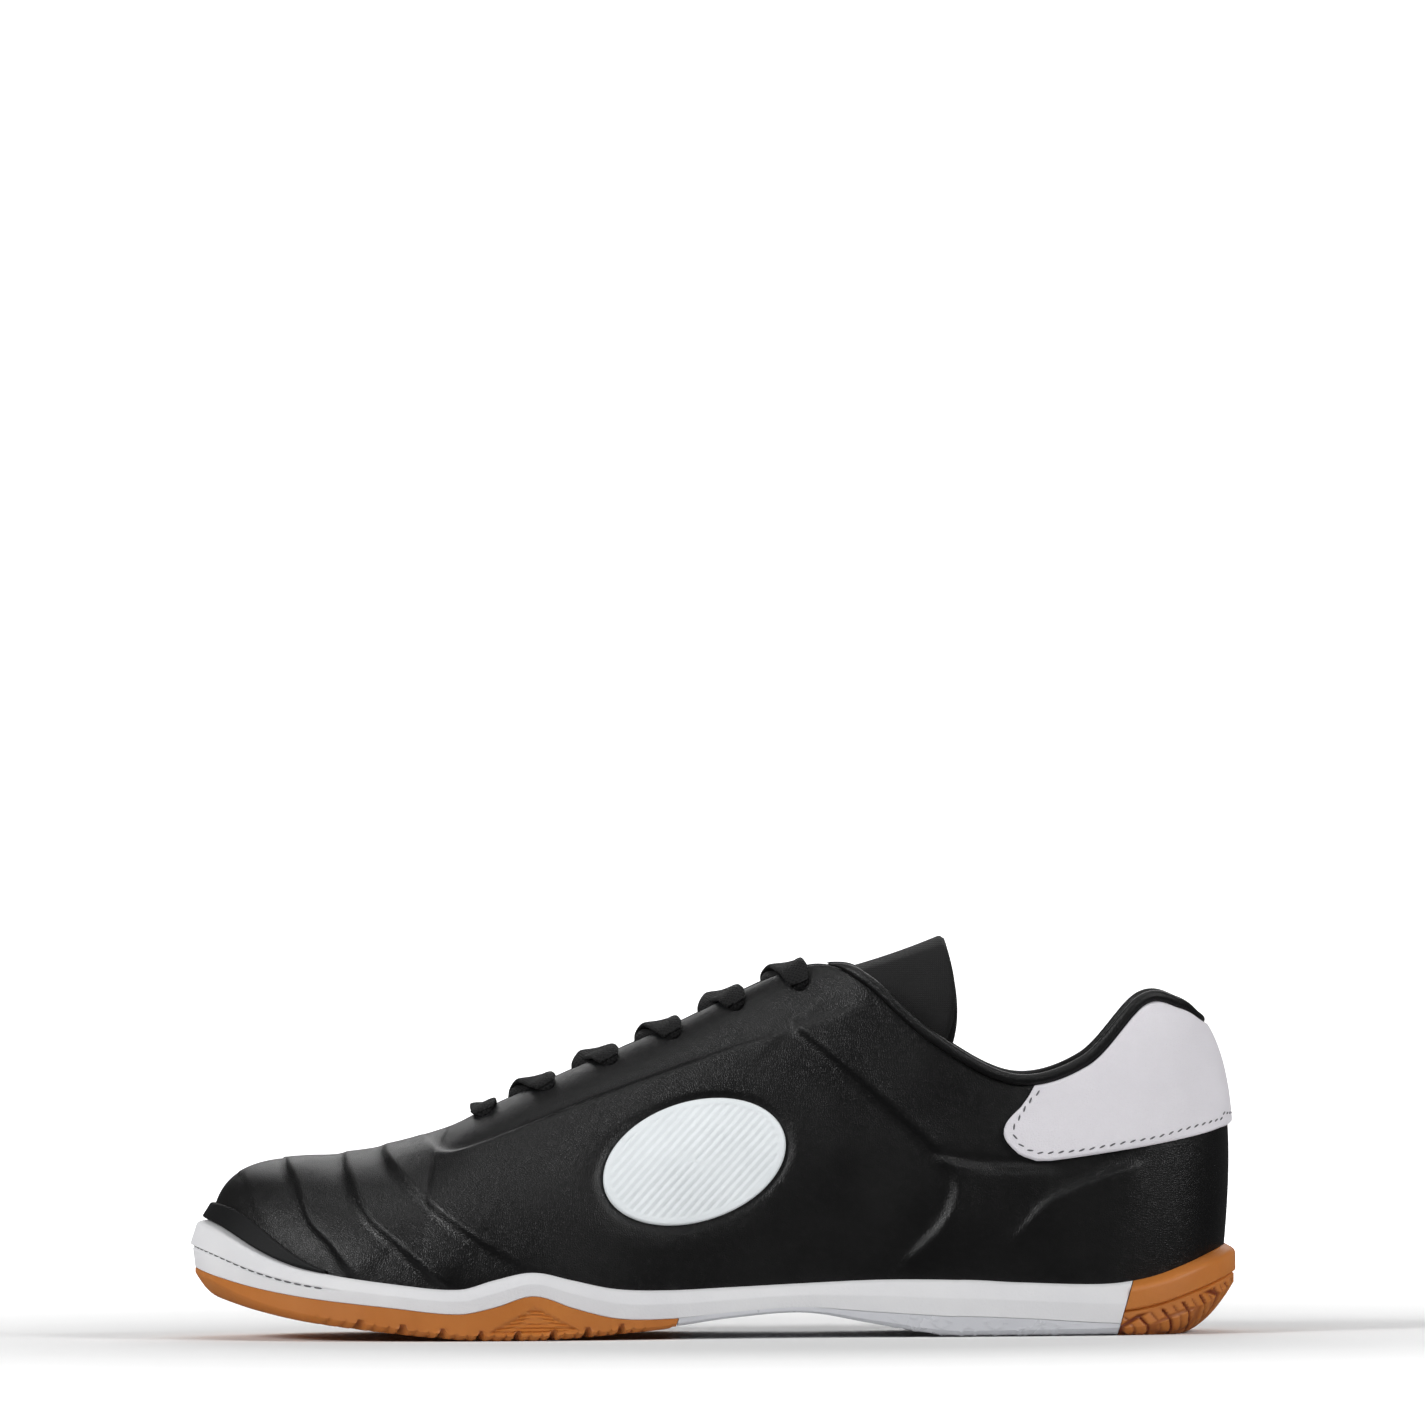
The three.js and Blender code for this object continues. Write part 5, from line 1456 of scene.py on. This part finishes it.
def tray_profiles(p):
    """Profiles of the outsole's tray: underside with its tread, rounded edge, side, inner faces. The
    relief lies along z under the foot and along the level outward direction on the side."""
    seam = sole_line("seam", along(from_feather(p, sole_margin, 0))) - seam_gap / 2
    face = lower_face(p, sole_margin, seam, 56, 9, 22)
    forefoot = ease(along(face), shank_end * length, shank_end * length + 1 * mm)
    below = ease(-(face[..., 2] - underside(along(face))), -3.2 * mm, -1.2 * mm)
    on_side = 1 - ease(-(face[..., 2] - underside(along(face))), -2.6 * mm, -1.4 * mm)
    out = outward(p)[:, None]
    cut = tread_relief(face) * forefoot * below
    pushed = (forefoot * facet_relief(face) - (1 - forefoot) * lozenge_relief(face)) * on_side
    lifted = (1 - forefoot) * (1 - on_side) * lozenge_relief(face)
    seam_fade = 1 - ease(face[..., 2], seam[:, None] - 1.2 * mm, seam[:, None] - 0.2 * mm)
    face = face - out * (pushed * seam_fade + 0.5 * cut * on_side)[..., None]
    face = at_height(face, face[..., 2] + cut + lozenge_lift * (1 - forefoot) * (1 - on_side) - lifted)
    inner = sole_margin - tread_wall
    back = np.stack([
        from_feather(p, inner, seam),
        rubber_corner(p, inner - corner_draft),
        spine(p, lambda s: floor_top(s) - clearance / 2),
    ], 1)
    # Painted shade for the tread's grooves: half the share of each groove's depth.
    painted_shade = np.pad(cut / tread_depth * forefoot, ((0, 0), (0, back.shape[1])))
    return np.concatenate([face, back], 1), 0.5 * np.clip(painted_shade, 0, 1)


tray, tray_painted_shade = tray_profiles(round_places(0.65 * mm))
forefoot = round_piece(
    "gum_forefoot", tray, gum_rubber, "gum_rubber", ["outsole_forefoot"], sharp=45, painted_shade=tray_painted_shade
)
cut_piece(forefoot, shank_end, keep_front=True, gap=0.1 * mm)
shank = round_piece("clear_shank", tray, clear_rubber, "clear_rubber", ["outsole_shank"], sharp=45)
cut_piece(shank, shank_end, keep_front=False, gap=0.1 * mm)
cut_piece(shank, heel_end, keep_front=True, gap=0.1 * mm)

# Outsole, heel
# Gum rubber wrapped up the back of the heel to the upper. A smooth band stands out below its top, and
# under it two families of grooves leave lozenge-shaped lugs.
band_height = 8 * mm
band_step = 0.5 * mm
band_groove = 0.9 * mm
band_bevel = 1.8 * mm
lug_pitch = 11 * mm
lug_groove = 1.0 * mm
lug_depth = 0.8 * mm
lug_slant = 0.8
lug_shear = 0.8


def lug_relief(points):
    """Depth of the heel's grooves: two families of slanted lines, which lean over as they climb the side,
    with finer ones halfway between."""
    x, y = along(points), points[..., 1]
    total = np.zeros(x.shape)
    for slant in (lug_slant, -lug_slant):
        across = x * np.cos(slant) + y * np.sin(slant) + np.sign(slant) * lug_shear * points[..., 2]
        pitch = lug_pitch * np.cos(slant)
        main = groove_mask(nearest_line(across, pitch), lug_groove / 2)
        fine = groove_mask(nearest_line(across + pitch / 2, pitch), 0.4 * mm, 0.25 * mm)
        total = np.maximum(total, np.maximum(main * lug_depth, fine * lug_depth * 0.5))
    return total


def heel_profiles(p):
    """Profiles of the heel's rubber: lugged underside and side, groove, smooth band, seat of the upper."""
    rim = rim_at(p)
    groove = rim - band_height
    top = groove - band_groove / 2
    face = lower_face(p, sole_margin - band_step, top, 50, 16, 24)
    on_side = ease(face[..., 2], 0.2 * mm, 4 * mm)
    top_fade = 1 - ease(face[..., 2], top[:, None] - 1.6 * mm, top[:, None] - 0.6 * mm)
    cut = lug_relief(face) * top_fade
    face = face - outward(p)[:, None] * (cut * on_side)[..., None]
    face = at_height(face, face[..., 2] + cut * (1 - on_side))
    corners = np.stack([
        face[:, -1],
        from_feather(p, sole_margin - band_step - band_groove, groove),
        from_feather(p, sole_margin, groove + band_groove / 2),
        from_feather(p, sole_margin, rim - band_bevel),
        *upper_seat(p),
        rubber_corner(p, clearance),
        spine(p, lambda s: floor_top(s) - clearance / 2),
    ], 1)
    radii = np.array([0, 0.3, 0.5, 1.2, 0.5, 0, 0, 0, 0]) * mm
    rest = soften(corners, radii)
    # Painted shade for the lug grooves: the share of each groove's depth.
    painted_shade = np.pad(np.clip(cut[:, :-1] / lug_depth, 0, 1), ((0, 0), (0, rest.shape[1])))
    return np.concatenate([face[:, :-1], rest], 1), painted_shade


heel_rounds, heel_painted_shade = heel_profiles(round_places(0.5 * mm))
heel = round_piece(
    "gum_heel", heel_rounds, gum_rubber, "gum_rubber", ["outsole_heel"], sharp=45, painted_shade=heel_painted_shade
)
cut_piece(heel, heel_end, keep_front=False, gap=0.1 * mm)

# Laces
# One flat woven black lace. It crosses from each eyelet over the near edge of the throat, dips under the
# far edge and comes up through the next eyelet. A plain bar joins the last two, and its ends lie inside.
lace_width = 7.6 * mm
lace_thickness = 1.5 * mm
lace_seat = 0.35 * mm
lace_leave = 0.12
lace_arrive = 0.5
lace_turn = 0.9 * mm
lace_bend_width = 5.6 * mm
lace_squeeze = 1.0 * mm
lace_hole_width = 3.3 * mm
lace_samples = 9
high_crossing = 1.7 * mm
low_crossing = 0.05 * mm
far_dip = 0.2 * mm
bend_lift = 0.7
bend_lean = 0.9
halfway_lift = 1.15
edge_lift = 1.1
under_depth = wall + 0.1 * mm + lace_squeeze / 2

lace_material, tree, shader = new_finish("woven_lace", 0.8, Sheen_Weight=0.03, Specular_IOR_Level=0.3)
lace_uv = node(tree, "TexCoord").outputs["UV"]
weave = []
for turned in (0.78, -0.78):
    slanted = node(tree, "Mapping", {"Vector": lace_uv, "Rotation": (0, 0, turned)}).outputs["Vector"]
    inputs = {"Vector": slanted, "Scale": 330.0, "Distortion": 0.4}
    weave.append(node(tree, "TexWave", inputs, bands_direction="X").outputs["Fac"])
braid = node(tree, "Math", {0: weave[0], 1: weave[1]}, operation="MAXIMUM").outputs[0]
bump(tree, shader, braid, 0.00022)
tint(tree, shader, braid, (0.002, 0.002, 0.0022), (0.008, 0.008, 0.0084))


def eyelet_side(number, side):
    """The way of the lace at the eyelets of one side: from inside the hole, out of it and over the near
    edge of the throat, as stations of centres, out directions, widths and thicknesses."""
    p, v = eyelet_place(number, side)
    edge_p, _ = eyelet_place(number + lace_leave * (number < eyelet_rows - 1), side, 0.0)
    away = unit(skin(p, v) - skin(edge_p, 1))
    lift = lace_seat + lace_thickness / 2
    half = (v + 1) / 2
    bend = offset(p, v, bend_lift * lift) - away * lace_turn
    halfway = offset(mix(p, edge_p, 0.5), half, halfway_lift * lift)
    return [
        (offset(p, v, -wall / 2), -away, lace_hole_width, lace_squeeze),
        (bend, unit(normal_at(p, v) - bend_lean * away), lace_bend_width, lace_thickness),
        (halfway, normal_at(p, half), lace_width, lace_thickness),
        (offset(edge_p, 1, edge_lift * lift), normal_at(edge_p, 1), lace_width, lace_thickness),
    ]


def lace_passes(side):
    """Stations of the passes that start on one side, for all its eyelets but the last: up through the
    eyelet, over the near edge, across, under the far edge and on to the next eyelet of the other side."""
    number = np.arange(eyelet_rows - 1.0)
    rise = np.where((number % 2 == 0) == (side > 0), high_crossing, low_crossing)[:, None]
    start = eyelet_side(number, side)
    near = start[-1][0]
    far_p, _ = eyelet_place(number + lace_arrive, -side, 0.0)
    next_p, next_v = eyelet_place(number + 1, -side)
    half_p, half_v = mix(next_p, far_p, 0.5), (next_v + 1) / 2
    up = np.tile([0, 0, 1.0], (len(number), 1))
    far = offset(far_p, 1, -far_dip)
    far_out, next_out = normal_at(far_p, 1), normal_at(next_p, next_v)
    crest = (near + far) / 2 + up * rise
    return start + [
        (mix(near, crest, 0.55) + up * 0.2 * rise, start[-1][1] + up, lace_width, lace_thickness),
        (crest, up, lace_width, lace_thickness),
        (mix(crest, far, 0.6), far_out + up, lace_width, lace_thickness),
        (offset(far_p, 1, -under_depth), far_out, lace_width, lace_squeeze),
        (offset(half_p, half_v, -under_depth), next_out, lace_width, lace_squeeze),
        (offset(next_p, next_v, -under_depth), next_out, lace_hole_width, lace_squeeze),
    ]


def whole_lace():
    """The stations of the whole lace, from inside one top eyelet to inside the other. The out direction
    turns over at each eyelet, because the lace folds back there."""
    passes = {side: lace_passes(side) for side in (1, -1)}

    def half(side):
        """The passes that one end of the lace makes, on one side and the other by turns."""
        run = []
        for number in range(eyelet_rows - 1):
            turned = (-1) ** number
            here = passes[side * turned]
            run += [(centre[number], turned * unit(out[number]), w, t) for centre, out, w, t in here]
        return run

    flip = (-1) ** (eyelet_rows - 1)
    last = np.array([eyelet_rows - 1.0])
    near, far = eyelet_side(last, flip), eyelet_side(last, -flip)
    between = (near[-1][0] + far[-1][0]) / 2 + np.array([0, 0, low_crossing])
    bar = near + [(between, np.array([[0, 0, 1.0]]), lace_width, lace_thickness)] + far[::-1]
    middle_part = [(centre[0], flip * unit(out[0]), w, t) for centre, out, w, t in bar]
    return half(1) + middle_part + half(-1)[::-1]


def lace_body():
    """Flat round-edged body through the stations: centres, out directions and sizes by smooth curves,
    and a section that is a flattened circle. u runs along the lace in metres and v across it."""
    stations = whole_lace()
    centres = smooth_line([c for c, _, _, _ in stations], lace_samples)
    outs = smooth_line([o for _, o, _, _ in stations], lace_samples)
    sizes = smooth_line([(w, t) for _, _, w, t in stations], lace_samples)
    run = unit(np.gradient(centres, axis=0))
    outs = unit(outs - (outs * run).sum(-1, keepdims=True) * run)
    across = unit(np.cross(run, outs))
    sides = 20
    angle = np.linspace(0, 2 * np.pi, sides, endpoint=False)[None, :]
    flat_x = np.sign(np.cos(angle)) * np.abs(np.cos(angle)) ** 0.55
    flat_y = np.sign(np.sin(angle)) * np.abs(np.sin(angle)) ** 0.8
    points = (
        centres[:, None]
        + across[:, None] * (sizes[:, :1] / 2 * flat_x)[..., None]
        + outs[:, None] * (sizes[:, 1:] / 2 * flat_y)[..., None]
    )
    uv = np.stack(np.broadcast_arrays(travel(centres)[:, None], sizes[:, :1] / 2 * flat_x), -1)
    faces = grid_faces(len(centres), sides, closed=True).tolist()
    last = (len(centres) - 1) * sides
    caps = [list(range(sides))[::-1], [last + k for k in range(sides)]]
    return points, faces + caps, uv


points, faces, uv = lace_body()
nodes = [f"lace_crossing_{k + 1}" for k in range(eyelet_rows - 1)] + ["lace_toe_bar"]
add_piece("woven_lace", points, faces, lace_material, "lace_black", nodes, sharp=70, uv=uv)

# Floor and light
# A pale seamless sweep of paper that glows more away from the shoe, under four soft lamps: a large one
# overhead, one at each front corner, and a weak one behind.
sweep_depth = 3.0
sweep_height = 3.0
sweep_bend = 1.0
sweep_width = 8.0
sweep_front = -8.0


def sweep():
    """Floor and backdrop in one sheet: level, then a quarter round, then upright."""
    angle = np.linspace(0, np.pi / 2, 24)
    y = np.concatenate([[sweep_front], sweep_depth + sweep_bend * np.sin(angle), [sweep_depth + sweep_bend]])
    z = np.concatenate([[0], sweep_bend * (1 - np.cos(angle)), [sweep_height]])
    x = np.array([-sweep_width / 2, sweep_width / 2])[:, None]
    points = np.stack(np.broadcast_arrays(x, y[None, :], z[None, :]), -1)
    mesh = bpy.data.meshes.new("floor")
    mesh.from_pydata(points.reshape(-1, 3).tolist(), [], grid_faces(2, len(y)).tolist())
    mesh.polygons.foreach_set("use_smooth", np.ones(len(mesh.polygons), bool))
    floor = bpy.data.objects.new("floor", mesh)
    bpy.context.scene.collection.objects.link(floor)
    return floor


paper, tree, shader = new_finish("white_paper", 0.9, Base_Color=(0.86, 0.86, 0.86, 1), Specular_IOR_Level=0.1)
where = node(tree, "TexCoord").outputs["Object"]
away = node(tree, "VectorMath", {0: where, 1: (1.0, 1.0, 0.4)}, operation="MULTIPLY").outputs["Vector"]
away = node(tree, "VectorMath", {0: away}, operation="LENGTH").outputs["Value"]
shader.inputs["Emission Color"].default_value = (1, 1, 1, 1)
tree.links.new(spread(tree, away, 0.0, 1.0, (0.15, 0.9)), shader.inputs["Emission Strength"])
floor = sweep()
floor.data.materials.append(paper)
floor.visible_glossy = False

world = bpy.data.worlds.new("studio")
world.use_nodes = True
world.node_tree.nodes["Background"].inputs["Color"].default_value = (1, 1, 1, 1)
world.node_tree.nodes["Background"].inputs["Strength"].default_value = 0.06
bpy.context.scene.world = world
bpy.context.scene.view_settings.view_transform = "Standard"

lamps = {
    "overhead": {"at": (0.0, 0.1, 1.7), "size": (1.2, 0.6), "power": 6},
    "front_left": {"at": (-2.0, -1.3, 1.5), "size": (0.9, 0.9), "power": 40},
    "front_right": {"at": (2.0, -1.3, 1.5), "size": (0.9, 0.9), "power": 31},
    "behind": {"at": (0.1, 1.6, 0.9), "size": (1.4, 0.5), "power": 6},
}
for lamp_name, lamp in lamps.items():
    light = bpy.data.lights.new(lamp_name, "AREA")
    light.shape = "RECTANGLE"
    light.size, light.size_y = lamp["size"]
    light.energy = lamp["power"]
    holder = bpy.data.objects.new(lamp_name, light)
    holder.location = lamp["at"]
    aim = np.array([0, 0, 0.05]) - np.array(lamp["at"])
    flat_way = math.hypot(aim[0], aim[1])
    holder.rotation_euler = (math.atan2(flat_way, -aim[2]), 0, math.atan2(-aim[0], aim[1]))
    bpy.context.scene.collection.objects.link(holder)
